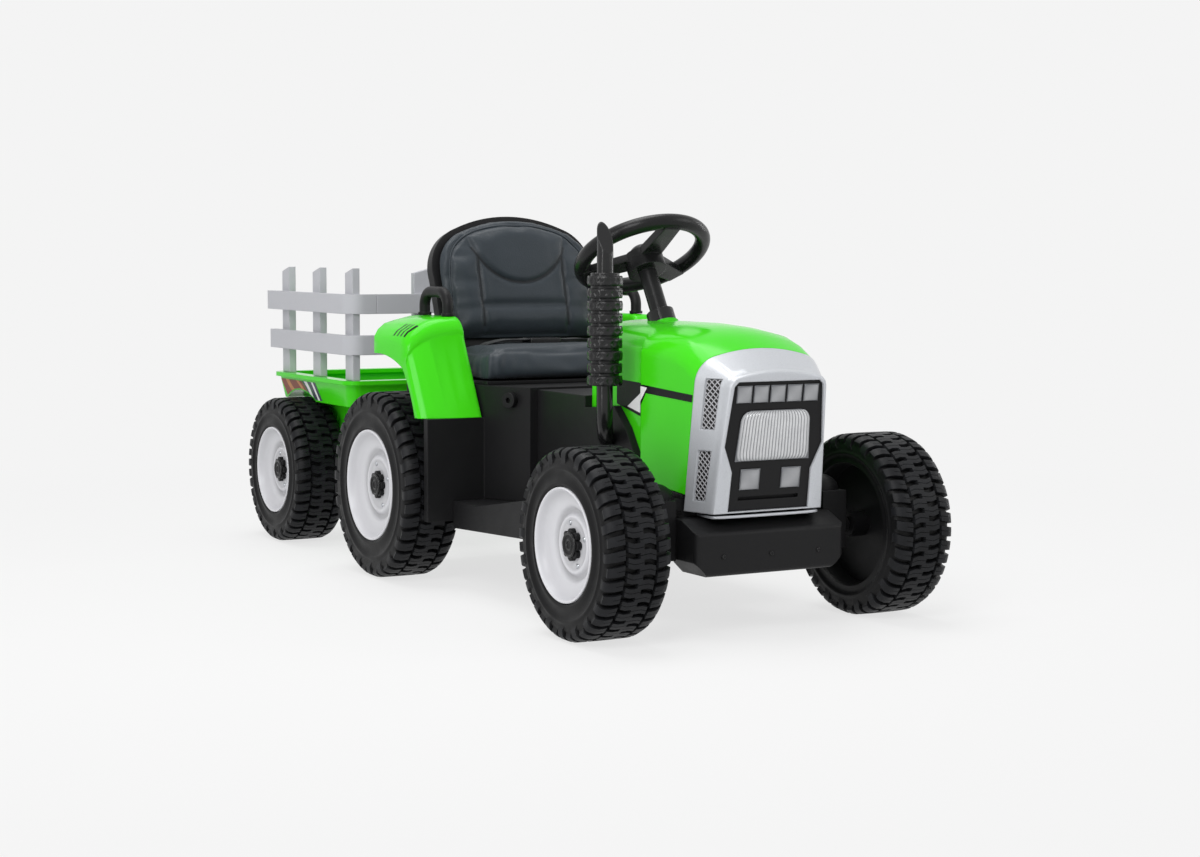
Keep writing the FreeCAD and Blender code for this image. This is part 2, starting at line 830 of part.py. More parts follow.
def knuckle():
    """Steering knuckle: kingpin, stub axle for the wheel and an arm to the tie rod."""
    x, y = "front_axle_x", "kingpin_half"
    foot, head = "beam_bottom + yoke_plate + seam_gap", "beam_top - yoke_plate - seam_gap"
    reach = "front_outer_half - cap_seat - axle_end_gap"
    inner_face = "front_outer_half - front_tyre_width + hub_setback - seam_gap"
    left = fuse(
        "knuckle_left",
        rod("kingpin", "kingpin_radius", "beam_top - beam_bottom - 2 * (yoke_plate - kingpin_seat)", x, y,
            "beam_bottom + yoke_plate - kingpin_seat"),
        rod("knuckle_block", "knuckle_radius", f"{head} - ({foot})", x, y, foot),
        rod("stub_axle", "axle_radius", f"{reach} - {y}", x, y, "front_tyre_radius", "Y"),
        rod("stub_collar", "stub_collar_radius", f"{inner_face} - {y}", x, y, "front_tyre_radius", "Y"),
        block("knuckle_arm", ("arm_pin_x - arm_width / 2", x),
              (f"{y} - arm_width / 2", f"{y} + arm_width / 2"),
              ("arm_bottom", "arm_bottom + arm_thickness")),
        rod("arm_pin", "arm_pin_radius", "arm_pin_drop + arm_thickness", "arm_pin_x", y,
            "arm_bottom - arm_pin_drop"))
    node(left)
    node(mirror("knuckle_right", left))


def tie_rod():
    """Flat bar between the knuckle arms, with a slotted tab that the steering crank drives."""
    low, top = "tie_top - tie_thickness", "tie_top"
    bar = block("tie_bar", ("arm_pin_x - tie_width / 2", "arm_pin_x + tie_width / 2"),
                ("-tie_half_length", "tie_half_length"), (low, top))
    tab = block("tie_tab", ("arm_pin_x - tie_tab_length", "arm_pin_x"), ("-tie_tab_half", "tie_tab_half"),
                (low, top))
    deep = (f"{low} - overrun", f"{top} + overrun")
    slots = [block(f"arm_slot_{hand}", ("arm_pin_x - tie_slot_back", "arm_pin_x + tie_slot_front"),
                   (f"{sign} * kingpin_half - tie_slot_half", f"{sign} * kingpin_half + tie_slot_half"), deep)
             for sign, hand in ((1, "left"), (-1, "right"))]
    height = "(column_foot_height - (tie_top - tie_thickness / 2))"
    pin_x = f"column_x + {height} * tan(column_tilt) - crank_radius / cos(column_tilt)"
    slots.append(block("crank_slot", (f"{pin_x} - crank_slot_back",
                                      f"{pin_x} - crank_slot_back + crank_slot_length"),
                       ("-crank_slot_half", "crank_slot_half"), deep))
    return node(cut("tie_rod", fuse("tie_blank", bar, tab), *slots))


# Steering wheel and column


def on_column(name, group):
    """Seat a group built along +Z on the tilted steering axis."""
    return tilted(name, group, "column_x", "column_foot_height", "-column_tilt")


def steering_rod():
    """Steel rod through the column, cranked at its foot to push the tie rod."""
    shaft = rod("steer_shaft", "steer_rod_radius", "steer_rod_depth + steer_hub_foot", z="-steer_rod_depth")
    arm = block("crank_arm", ("-crank_radius - crank_pin_radius", "steer_rod_radius"),
                ("-steer_rod_radius", "steer_rod_radius"),
                ("-steer_rod_depth", "-steer_rod_depth + crank_thickness"))
    pin = rod("crank_pin", "crank_pin_radius", "crank_pin_length + crank_thickness", "-crank_radius", "0",
              "-steer_rod_depth - crank_pin_length")
    return node(on_column("steering_rod", fuse("steering_rod_blank", shaft, arm, pin)))


def steering_wheel():
    """Rim, three spokes, hub with a horn pocket, and the tube that plugs onto the rod."""
    hoop = doc.addObject("Part::Torus", "steer_hoop")
    bind(hoop, Radius1="steer_rim_radius", Radius2="steer_tube_radius")
    put(hoop, z="rim_plane_height")
    hub = rod("steer_hub", "steer_hub_radius", "steer_hub_top - steer_hub_foot", z="steer_hub_foot")
    tube = rod("steer_tube", "column_radius", "steer_hub_top - seam_gap", z="seam_gap")
    solids = [hoop, hub, tube]
    for i in range(int(mm("spoke_count"))):
        spoke = prism(f"spoke_{i}", "XY_Plane", [
            ("0", "-spoke_root_half"), ("steer_rim_radius", "-spoke_tip_half"),
            ("steer_rim_radius", "spoke_tip_half"), ("0", "spoke_root_half")], "spoke_thickness")
        spoke.Placement = FreeCAD.Placement(Vector(), FreeCAD.Rotation(Vector(0, 0, 1), 1))
        bind(spoke, Placement__Rotation__Angle=f"{i} * 360 / spoke_count",
             Placement__Base__z="steer_hub_top - spoke_thickness - seam_gap")
        solids.append(spoke)
    pocket = rod("horn_pocket", "horn_radius + horn_gap", "horn_pocket_depth + overrun",
                 z="steer_hub_top - horn_pocket_depth")
    core = rod("steer_bore", "steer_rod_radius + running_gap", "steer_hub_foot + seam_gap")
    return node(on_column("steering_wheel", cut("steering_wheel_blank", fuse("steer_solid", *solids),
                                                pocket, core)))


def horn_button():
    """Domed button in the middle of the wheel that presses in along the column."""
    stem = rod("horn_stem", "horn_radius", "horn_pocket_depth - horn_stem + seam_gap",
               z="steer_hub_top - horn_pocket_depth + horn_stem")
    dome = doc.addObject("Part::Ellipsoid", "horn_dome")
    bind(dome, Radius1="horn_rise", Radius2="horn_radius", Radius3="horn_radius")
    dome.Angle1 = 0
    put(dome, z="steer_hub_top")
    plunger = rod("horn_plunger", "horn_stem", "horn_pocket_depth - horn_travel",
                  z="steer_hub_top - horn_pocket_depth + horn_travel")
    return node(on_column("horn_button", fuse("horn_blank", stem, dome, plunger)))


def steering_collar():
    """Black ring that guides the tube where it enters the hood."""
    ring = rod("collar_ring", "collar_radius", "collar_height", z="seam_gap - collar_sink")
    hole = rod("collar_hole", "column_radius + running_gap", "collar_height + 2 * overrun", z="-overrun")
    return node(on_column("steering_collar", cut("collar_blank", ring, hole)))


# Hood, grille and dash


def arched_section(at, low, top, half_low, half_high, shoulder, crown):
    """Closed section of straight sides, two shoulder arcs and a crown arc; at(y, z) sets its plane."""
    reach, span = half_high - shoulder, crown - shoulder
    lift = math.sqrt(span ** 2 - reach ** 2)
    spring = top - crown + lift
    turn = math.atan2(lift, reach)

    def on_shoulder(sign, angle):
        return at(sign * (reach + shoulder * math.cos(angle)), spring + shoulder * math.sin(angle))
    right, left = [[on_shoulder(sign, turn * step / 2) for step in range(3)] for sign in (-1, 1)]
    return Part.Wire([
        line(at(-half_low, low), right[0]), arc(*right), arc(right[-1], at(0, top), left[-1]),
        arc(*left[::-1]),
        line(left[0], at(half_low, low)), line(at(half_low, low), at(-half_low, low))])


def slanted(foot, head):
    """Points (y, z) of the plane through a foot and a head given as (x, z)."""
    slope = (head[0] - foot[0]) / (head[1] - foot[1])
    return lambda y, z: Vector(foot[0] + (z - foot[1]) * slope, y, z)


def seam_line(shift, share=1.0):
    """Foot and head (x, z) of the seam of hood and grille, or of a plane part of the way from the brow."""
    axle = mm("front_axle_x")
    brow, heights = axle - mm("hood_brow_setback"), (mm("hood_low_front"), mm("hood_nose_top"))
    ends = axle + mm("seam_low_overhang"), axle + mm("seam_top_overhang")
    return [(brow + share * (end - brow) + shift, z) for end, z in zip(ends, heights)]


def seam_section(shift, low, inset, share=1.0):
    """The hood's section in its slanted seam plane, or nearer the brow for a share below one."""
    half = mm("hood_half") + (mm("hood_nose_half") - mm("hood_half")) * share - inset
    top = mm("hood_brow_top") - (mm("hood_brow_top") - mm("hood_nose_top")) * share ** 2 - inset
    return arched_section(slanted(*seam_line(shift, share)), low, top, half, half,
                          mm("hood_shoulder") - inset, mm("hood_crown") - inset)


def hood_loft(inset, tail_x, nose_shares):
    """Solid of the hood's outside, or of its inside when inset by a wall and carried past the seam."""
    axle, low, top = mm("front_axle_x"), mm("beam_bottom"), mm("hood_top") - inset
    stations = ((tail_x, mm("hood_rear_half") - inset),
                (axle - mm("hood_step_back"), mm("hood_rear_half") - inset),
                (axle - mm("hood_step_front"), mm("hood_half") - inset))
    sections = [arched_section(slanted((x, low), (x, top)), low, top, half, half, mm("hood_shoulder") - inset,
                               mm("hood_crown") - inset) for x, half in stations]
    sections += [seam_section(0.0, low, inset, share) for share in nose_shares]
    return Part.makeLoft(sections, True, True)


def hood():
    """Green shell: lofted top and sides that end at the grille seam, trimmed along its lower edge."""
    axle, reach, thick = mm("front_axle_x"), mm("overrun"), mm("wall")
    tail, front = mm("hood_rear_x"), axle + mm("seam_low_overhang")
    deep, floor = mm("hood_half") + reach, mm("beam_bottom") - reach
    below = [(tail - reach, mm("hood_tail_height")), (tail, mm("hood_tail_height")),
             (axle - mm("hood_heel_setback"), mm("hood_heel_height")),
             (axle - mm("hood_cheek_setback"), mm("hood_cheek_height")),
             (axle - mm("hood_low_mid_setback"), mm("hood_low_mid")), (front, mm("hood_low_front")),
             (front + reach, mm("hood_low_front")), (front + reach, floor), (tail - reach, floor)]
    trim = Part.Face(wire_of([Vector(x, -deep, z) for x, z in below])).extrude(Vector(0, 2 * deep, 0))
    shell = hood_loft(0.0, tail, NOSE_SHARES).cut(hood_loft(thick, tail + thick,
                                                            NOSE_SHARES + NOSE_PAST_SHARES))
    seat, depth = -mm("collar_sink"), mm("boss_depth")
    boss = Part.makeCylinder(mm("boss_radius"), depth, Vector(0, 0, seat - depth))
    hole = Part.makeCylinder(mm("column_radius") + mm("running_gap") + mm("seam_gap"), depth + 2 * reach,
                             Vector(0, 0, seat - depth - reach))
    socket = Part.makeCylinder(mm("collar_radius") + mm("seam_gap"), mm("collar_height") + reach,
                               Vector(0, 0, seat))
    for tool in (boss, hole, socket):
        tool.Placement = FreeCAD.Placement(Vector(mm("column_x"), 0, mm("column_foot_height")),
                                           FreeCAD.Rotation(Y_AXIS, -mm("column_tilt")))
    return node(shaped("hood", shell.fuse(boss).cut([hole, socket, trim])))


def grille_front(back):
    """Foot and head (x, z) of the slanted front plane, moved back."""
    return [(mm("grille_foot_x") - back, mm("grille_foot")),
            (mm("front_axle_x") + mm("grille_head_overhang") - back, mm("grille_head"))]


def front_section(back, inset):
    """Section of the grille surround parallel to its slanted front, drawn in by inset."""
    return arched_section(slanted(*grille_front(back)), mm("grille_foot"), mm("grille_head") - inset,
                          mm("grille_foot_half") - inset, mm("grille_head_half") - inset,
                          mm("grille_corner") - inset, mm("hood_crown") - inset)


def grille_surround():
    """Silver frame: takes up the hood's section at the seam and curls over to the slanted front."""
    reach, thick, gap, foot = mm("overrun"), mm("grille_wall"), mm("seam_gap"), mm("grille_foot")
    lip, lip_depth, steps = mm("grille_lip"), mm("grille_lip_depth"), int(mm("grille_lip_steps"))
    turns = [math.pi / 2 * i / steps for i in range(steps + 1)]
    curl = [front_section(lip_depth * (1 - math.sin(turn)), lip * (1 - math.cos(turn))) for turn in turns]
    outside = Part.makeLoft([seam_section(gap, foot, 0.0)] + curl, True, True)
    inside = Part.makeLoft([seam_section(-reach, foot, thick), front_section(thick, thick)], True, True)
    shell = outside.cut(inside).cut(insert_blank(gap, 4 * reach, 2 * reach))
    depth = mm("vent_depth")
    core = Part.makeLoft([seam_section(gap, foot, depth), front_section(lip_depth, depth)], True, True)
    ends = seam_line(gap) + grille_front(0.0)
    for low, high in (("vent_lower_foot", "vent_lower_top"), ("vent_upper_foot", "vent_upper_top")):
        shell = shell.cut(vent(mm(low), mm(high), ends).cut(core))
    return node(shaped("grille_surround", shell))


def vent(low, high, ends):
    """Prism across both sides of the surround between its slanted front and rear margins."""
    seam_foot, seam_head, foot, head = ends
    deep = mm("hood_half") + mm("overrun")

    def on_slant(start, stop, z):
        return start[0] + (stop[0] - start[0]) * (z - start[1]) / (stop[1] - start[1])

    def margins(z):
        return [Vector(on_slant(seam_foot, seam_head, z) + mm("vent_rear_margin"), -deep, z),
                Vector(on_slant(foot, head, z) - mm("vent_front_margin"), -deep, z)]
    return Part.Face(wire_of(margins(low) + margins(high)[::-1])).extrude(Vector(0, 2 * deep, 0))


def insert_blank(grow, depth, front):
    """Prism of the insert's outline on the slanted front plane, widened by grow."""
    rises = ("insert_foot_rise", "insert_neck_rise", "insert_wide_rise", "insert_head_rise")
    halves = ("insert_foot_half", "insert_neck_half", "insert_wide_half", "insert_head_half")
    side = [(mm(half) + grow, mm(rise)) for half, rise in zip(halves, rises)]
    side[0] = (side[0][0], side[0][1] - grow)
    corner = mm("insert_corner")
    head_half, head_rise = side[-1][0], side[-1][1] + grow
    side[-1:] = [(head_half, head_rise - corner), (head_half - corner, head_rise)]
    outline = side + [(-y, z) for y, z in reversed(side)]
    face = Part.Face(wire_of([Vector(front - depth, y, z) for y, z in outline]))
    solid = face.extrude(Vector(depth, 0, 0))
    solid.Placement = grille_seat()
    return solid


def grille_seat():
    """Frame of the slanted front: origin at its foot, Z up along the slant."""
    return FreeCAD.Placement(Vector(mm("grille_foot_x"), 0, mm("grille_foot")),
                             FreeCAD.Rotation(Y_AXIS, mm("grille_tilt")))


def on_grille(name, group):
    """Seat a group built about the grille's own frame on the slanted front."""
    return tilted(name, group, "grille_foot_x", "grille_foot", "grille_tilt")


def lamp_outline(width, height, y="0", grow="0"):
    """Rectangle in the grille frame, widened by grow, given by its size and foot."""
    half, foot, top = f"({width} / 2 + {grow})", f"{height[0]} - {grow}", f"{height[1]} + {grow}"
    return [(f"{y} - {half}", foot), (f"{y} + {half}", foot), (f"{y} + {half}", top), (f"{y} - {half}", top)]


def small_lamp_places():
    """Middle and heights of the five lamps of the top row and the two low lamps."""
    count = int(mm("row_lamp_count"))
    row = ("row_lamp_rise", "row_lamp_rise + row_lamp_height")
    low = ("low_lamp_rise", "low_lamp_rise + low_lamp_height")
    spots = [("row_lamp_width", row, f"({i} - (row_lamp_count - 1) / 2) * row_lamp_pitch")
             for i in range(count)]
    return spots + [("low_lamp_width", low, f"{sign} * low_lamp_centre") for sign in (-1, 1)]


def centre_lamp_outline(grow):
    """Wide lamp with a narrower head and cut top corners."""
    head, foot = f"(centre_lamp_head_half + {grow})", f"(centre_lamp_half + {grow})"
    low, top = f"centre_lamp_foot - {grow}", f"centre_lamp_top + {grow}"
    return [(f"-{foot}", low), (foot, low), (head, f"{top} - centre_lamp_corner"),
            (f"{head} - centre_lamp_corner", top), (f"-{head} + centre_lamp_corner", top),
            (f"-{head}", f"{top} - centre_lamp_corner")]


def grille_insert():
    """Black panel in the silver frame with pockets for the lamps and a slot."""
    blank = shaped("insert_blank", insert_blank(0.0, mm("insert_thickness"), -mm("insert_recess")))
    pockets = body("insert_pockets")
    sketch = new_sketch(pockets, "YZ_Plane", "insert_face - lamp_pocket")
    for width, height, y in small_lamp_places():
        polygon(sketch, lamp_outline(width, height, y, "lamp_gap"))
    polygon(sketch, centre_lamp_outline("lamp_gap"))
    polygon(sketch, lamp_outline("2 * slot_half", ("slot_rise", "slot_rise + slot_height")))
    pad(pockets, sketch, "lamp_pocket + overrun").AllowMultiFace = True
    return node(cut("grille_insert", blank, on_grille("seated_pockets", pockets)))


def lamps():
    """Clear lenses: seven square ones as a group, and the wide centre lamp."""
    for name, outlines in (("square_lamps", [lamp_outline(*spot) for spot in small_lamp_places()]),
                           ("centre_lamp", [centre_lamp_outline("0")])):
        lenses = [prism(f"{name}_lens_{i}", "YZ_Plane", outline, "insert_face + lamp_proud - lamp_back",
                        "lamp_back")
                  for i, outline in enumerate(outlines)]
        group = doc.addObject("Part::Compound", name + "_group")
        group.Links = lenses
        node(on_grille(name, group))


def dash():
    """Panel on the hood's tail that faces the driver, with its push button and rocker switch."""
    face, back = "hood_rear_x - seam_gap - dash_thickness", "hood_rear_x - seam_gap"
    panel = body("dash_blank")
    pad(panel, polygon(new_sketch(panel, "YZ_Plane", face), [
        ("-dash_half", "dash_foot"), ("dash_half", "dash_foot"), ("dash_half * dash_head_share", "dash_top"),
        ("-dash_half * dash_head_share", "dash_top")]), "dash_thickness")
    soften(panel, "dash_thickness", lambda edge: runs_along(edge, "X"))
    button_hole = rod("button_hole", "button_radius + horn_gap", "button_pocket + overrun",
                      f"{face} - overrun",
                      "-button_offset", "button_height", "X")
    rocker_hole = block("rocker_hole", (f"{face} - overrun", f"{face} + rocker_pocket"),
                        ("button_offset - rocker_half_width - rocker_gap",
                         "button_offset + rocker_half_width + rocker_gap"),
                        ("button_height - rocker_half_height - rocker_gap",
                         "button_height + rocker_half_height + rocker_gap"))
    reach = "rocker_half_width + rocker_gap + rocker_pin_seat"
    pin_x = f"{face} + rocker_pin_setback"
    pin_hole = rod("rocker_pin_hole", "rocker_pin_radius + running_gap", f"2 * ({reach} + seam_gap)", pin_x,
                   f"button_offset - ({reach}) - seam_gap", "button_height", "Y")
    node(cut("dash_panel", panel, button_hole, rocker_hole, pin_hole))
    node(rod("power_button", "button_radius", "button_proud + button_pocket / 3", f"{face} - button_proud",
             "-button_offset", "button_height", "X"))
    rocker = prism("rocker_blank", "XZ_Plane", [
        (f"{face} + rocker_pocket / 2", "button_height - rocker_half_height"),
        (f"{face} + rocker_pocket / 2", "button_height + rocker_half_height"),
        (f"{face} - rocker_proud", "button_height + rocker_half_height"),
        (f"{face} - rocker_proud / 2", "button_height"),
        (f"{face} - rocker_proud", "button_height - rocker_half_height")],
        "2 * rocker_half_width", "-button_offset", symmetric=True)
    pin = rod("rocker_pin", "rocker_pin_radius", f"2 * ({reach})", pin_x, f"button_offset - ({reach})",
              "button_height", "Y")
    node(fuse("direction_switch", rocker, pin))


# Bumper and exhaust


def front_bumper():
    """Black bumper bar with a sloping top ledge and cut lower corners."""
    owner = body("front_bumper")
    back = "front_axle_x + beam_front - beam_recess + seam_gap"
    front = "front_axle_x + bumper_front"
    pad(owner, polygon(new_sketch(owner, "XZ_Plane"), [
        (back, "bumper_bottom"), (front, "bumper_bottom"), (front, "bumper_top"),
        (f"{front} - bumper_ledge", "bumper_back_top"), (back, "bumper_back_top")]),
        "2 * bumper_half", symmetric=True)
    for sign in (1, -1):
        corner = new_sketch(owner, "YZ_Plane", f"{front} + overrun")
        polygon(corner, [
            (f"{sign} * bumper_foot_half", "bumper_bottom - overrun"),
            (f"{sign} * bumper_foot_half", "bumper_bottom"), (f"{sign} * bumper_half", "bumper_chin"),
            (f"{sign} * (bumper_half + overrun)", "bumper_chin"),
            (f"{sign} * (bumper_half + overrun)", "bumper_bottom - overrun")])
        pad(owner, corner, f"{front} - ({back}) + 2 * overrun", kind="Pocket")
    face_x = mm("front_axle_x") + mm("bumper_front") - mm("seam_gap")
    soften(owner, "bumper_corner", lambda edge: runs_along(edge, "Z") or (
        runs_along(edge, "Y") and edge.CenterOfMass.x > face_x))
    return node(owner)


def exhaust_stack():
    """Upright pipe with a slant-cut tip, a ribbed sleeve and an elbow into the body's side."""
    x, y = mm("stack_x"), -mm("stack_half")
    radius, pipe = mm("stack_radius"), mm("pipe_radius")
    foot, head, count = mm("stack_foot"), mm("stack_head"), int(mm("stack_ring_count"))
    pitch = (head - foot) / count
    profile = [Vector(x, y, foot)]
    for i in range(count):
        low = foot + i * pitch
        high = low + pitch * mm("stack_ring_share")
        profile += [Vector(x + radius, y, low), Vector(x + radius, y, high),
                    Vector(x + radius - mm("stack_groove"), y, high),
                    Vector(x + radius - mm("stack_groove"), y, low + pitch)]
    profile += [Vector(x, y, head)]
    sleeve = Part.Face(wire_of(profile)).revolve(Vector(x, y, 0), Vector(0, 0, 1), 360)
    upper = Part.makeCylinder(pipe, mm("pipe_tip") - head, Vector(x, y, head))
    slant = Part.makeBox(4 * pipe, 4 * pipe, 4 * mm("pipe_tip_cut"), Vector(-4 * pipe, -2 * pipe, 0))
    lean = math.degrees(math.atan2(2 * pipe, mm("pipe_tip_cut")))
    slant.Placement = FreeCAD.Placement(Vector(x + pipe, y, mm("pipe_tip") - mm("pipe_tip_cut")),
                                        FreeCAD.Rotation(Y_AXIS, -lean)).multiply(
        FreeCAD.Placement(Vector(0, 0, 0), FreeCAD.Rotation(Vector(0, 0, 1), 180)))
    knee = Vector(x, y, mm("pipe_elbow"))
    tail = Vector(x - mm("pipe_tail_back"), -mm("tunnel_half") + pipe,
                  mm("pipe_elbow") - mm("pipe_tail_drop"))
    path = bent_path([Vector(x, y, foot), knee, tail], mm("pipe_bend"))
    lower = sweep_round(path, pipe)
    wall_side = Part.makeBox(mm("wheelbase"), mm("tunnel_half"), mm("hood_top"),
                             Vector(x - mm("wheelbase") / 2, -mm("tunnel_half") - mm("seam_gap"), 0))
    shape = sleeve.fuse([upper.cut(slant), lower.cut(wall_side)]).removeSplitter()
    return node(shaped("exhaust_stack", shape))


def bent_path(points, radius):
    """Wire of straight runs joined by tangent arcs of one radius."""
    edges, start = [], points[0]
    for before, corner, after in zip(points, points[1:], points[2:]):
        back = (before - corner).normalize()
        ahead = (after - corner).normalize()
        half_turn = math.acos(max(-1.0, min(1.0, back.dot(ahead)))) / 2
        reach = radius / math.tan(half_turn)
        middle = corner + (back + ahead).normalize() * (radius / math.sin(half_turn) - radius)
        edges += [line(start, corner + back * reach),
                  arc(corner + back * reach, middle, corner + ahead * reach)]
        start = corner + ahead * reach
    return Part.Wire(edges + [line(start, points[-1])])


def sweep_round(path, radius):
    """Solid tube along a wire."""
    start = path.Edges[0]
    direction = start.tangentAt(start.FirstParameter)
    section = Part.Wire(Part.makeCircle(radius, start.valueAt(start.FirstParameter), direction))
    return path.makePipeShell([section], True, False)


# Lower body and seat base


def lower_body():
    """Black floor moulding: central tunnel and front deck as a shell, and a foot step on each side."""
    rear, axle = "tunnel_rear_x", "front_axle_x"
    tail, heel = "hood_rear_x - seam_gap", f"{axle} - hood_heel_setback"
    cheek, mid = f"{axle} - hood_cheek_setback", f"{axle} - hood_low_mid_setback"
    deck_end, deck_back = f"{axle} + deck_front", f"{axle} - deck_rear"
    gap, deck_low = "seam_gap", "beam_top + seam_gap"
    tunnel = prism("tunnel", "XZ_Plane", [
        (rear, "floor_height"), (rear, "tunnel_top"), (tail, "tunnel_top"),
        (tail, f"hood_tail_height - {gap}"), (heel, f"hood_heel_height - {gap}"),
        (cheek, f"hood_cheek_height - {gap}"), (mid, f"hood_low_mid - {gap}"),
        (deck_end, f"{deck_low} + deck_thickness"), (deck_end, deck_low), (deck_back, deck_low),
        (deck_back, "floor_height")], "2 * tunnel_half", symmetric=True)
    hollow = prism("tunnel_hollow", "XZ_Plane", [
        (f"{rear} + wall", "floor_height - overrun"), (f"{rear} + wall", "hood_tail_height - 2 * wall"),
        (heel, "hood_heel_height - 2 * wall"), (f"{cheek} - wall", "hood_cheek_height - 2 * wall"),
        (f"{deck_back} - wall", f"{deck_low} + wall"), (f"{deck_back} - wall", "floor_height - overrun")],
        "2 * (tunnel_half - wall)", symmetric=True)
    steps = []
    for sign, hand in ((1, "left"), (-1, "right")):
        step = body("step_" + hand)
        start = "seam_gap - tunnel_half" if sign > 0 else "step_half"
        pad(step, polygon(new_sketch(step, "XZ_Plane", start), [
            ("step_rear_x", "step_bottom"), ("step_front_x", "step_toe_bottom"),
            ("step_front_x", "step_toe_top"), ("step_front_x - step_toe_length", "step_toe_top"),
            ("step_rear_x + step_heel_length", "step_top"), ("step_rear_x", "step_top")]),
            "step_half - tunnel_half + seam_gap", backwards=True)
        soften(step, "step_corner", lambda edge, s=sign: runs_along(edge, "Z") and
               edge.CenterOfMass.x > mm("step_front_x") - mm("seam_gap") and
               s * edge.CenterOfMass.y > mm("step_half") - mm("seam_gap"))
        steps.append(step)
    channel = rod("rod_channel", "steer_rod_channel", "2 * steer_rod_depth", z="-2 * steer_rod_depth")
    return node(cut("lower_body", fuse("lower_blank", cut("tunnel_shell", tunnel, hollow), *steps),
                    on_column("seated_channel", channel)))


def seat_base():
    """Black box under the seat with angled front corners, wheel guards, hitch tongue and closed floor."""
    rear = "rear_axle_x - base_rear"
    box = body("base_box")
    pad(box, polygon(new_sketch(box, "XY_Plane", "base_bottom"), [
        (rear, "-base_half"), ("base_front_x", "-base_half"), ("base_front_x", "base_half"),
        (rear, "base_half")]),
        "base_top - base_bottom")
    soften(box, "base_corner", lambda edge: runs_along(edge, "Z") and edge.CenterOfMass.x < mm("rear_axle_x"))
    nose_foot = "step_top + seam_gap"
    nose = prism("base_nose_block", "XY_Plane", [
        ("base_front_x", "-base_half"), ("base_nose_x", "-base_nose_half"), ("base_nose_x", "base_nose_half"),
        ("base_front_x", "base_half")], f"base_top - ({nose_foot})", nose_foot)
    guards = []
    for sign in (1, -1):
        guards.append(prism("guard", "XY_Plane", [
            ("rear_axle_x + guard_rear", f"{sign} * (base_half - wall)"),
            ("rear_axle_x + guard_front", f"{sign} * (base_half - wall)"),
            ("rear_axle_x + guard_front", f"{sign} * guard_half"),
            ("rear_axle_x + guard_rear", f"{sign} * guard_half")], "guard_top - base_bottom", "base_bottom"))
    tongue = block("tongue", ("hitch_x - tongue_tail", f"{rear} + wall"), ("-tongue_half", "tongue_half"),
                   ("tongue_bottom", "tongue_bottom + tongue_thickness"))
    hollow = block("base_hollow", (f"{rear} + wall", "base_front_x - wall"),
                   ("-base_half + wall", "base_half - wall"), ("base_bottom + wall", "base_top - wall"))
    axle_hole = rod("base_axle_hole", "axle_radius + running_gap", "2 * (base_half + overrun)", "rear_axle_x",
                    "-base_half - overrun", "rear_tyre_radius", "Y")
    pin_hole = rod("tongue_hole", "hitch_pin_radius + running_gap", "tongue_thickness + 2 * overrun",
                   "hitch_x",
                   "0", "tongue_bottom - overrun")
    shell = cut("base_shell", fuse("base_solid", box, nose, *guards), hollow)
    return node(cut("seat_base", fuse("base_with_tongue", shell, tongue), axle_hole, pin_hole))


def drive_train():
    """Gearbox with its motor on each end of the rear axle, and the battery, all inside the seat base."""
    start = "base_half - wall - seam_gap - gearbox_width"
    x, z = "rear_axle_x", "rear_tyre_radius"
    case = fuse("gearbox_solid",
                rod("gear_case", "gearbox_radius", "gearbox_width", x, start, z, "Y"),
                rod("motor_seat", "motor_radius * motor_seat_share", "gearbox_width", f"{x} + motor_offset",
                    start,
                    f"{z} + motor_rise", "Y"),
                rod("motor", "motor_radius", "motor_length + gearbox_width / 2", f"{x} + motor_offset",
                    f"{start} - motor_length", f"{z} + motor_rise", "Y"))
    hole = rod("gear_bore", "axle_radius + running_gap", "gearbox_width + 2 * overrun", x,
               f"{start} - overrun", z, "Y")
    left = cut("drive_gearbox_left", case, hole)
    node(left)
    node(mirror("drive_gearbox_right", left))
    cell = body("battery")
    front, floor = "rear_axle_x + base_front - wall - seam_gap", "base_bottom + wall + seam_gap"
    pad(cell, polygon(new_sketch(cell, "XY_Plane", floor), [
        (f"{front} - battery_length", "-battery_width / 2"), (front, "-battery_width / 2"),
        (front, "battery_width / 2"), (f"{front} - battery_length", "battery_width / 2")]), "battery_height")
    soften(cell, "wall", lambda edge: runs_along(edge, "Z"))
    node(cell)


def charging_socket():
    """Round socket on the angled right corner of the seat base, with a blind bore."""
    run_x, run_y = mm("base_nose") - mm("base_front"), mm("base_half") - mm("base_nose_half")
    share = mm("socket_share")
    seat = Vector(mm("base_front_x") + run_x * share, -mm("base_half") + run_y * share, mm("socket_height"))
    outward = Vector(run_y, -run_x, 0).normalize()
    start = seat + outward * mm("seam_gap")
    solid = Part.makeCylinder(mm("socket_radius"), mm("socket_length"), start, outward)
    mouth = start + outward * (mm("socket_length") - mm("socket_bore_depth"))
    bore = Part.makeCylinder(mm("socket_bore_radius"), mm("socket_bore_depth") + mm("overrun"), mouth,
                             outward)
    return node(shaped("charging_socket", solid.cut(bore)))


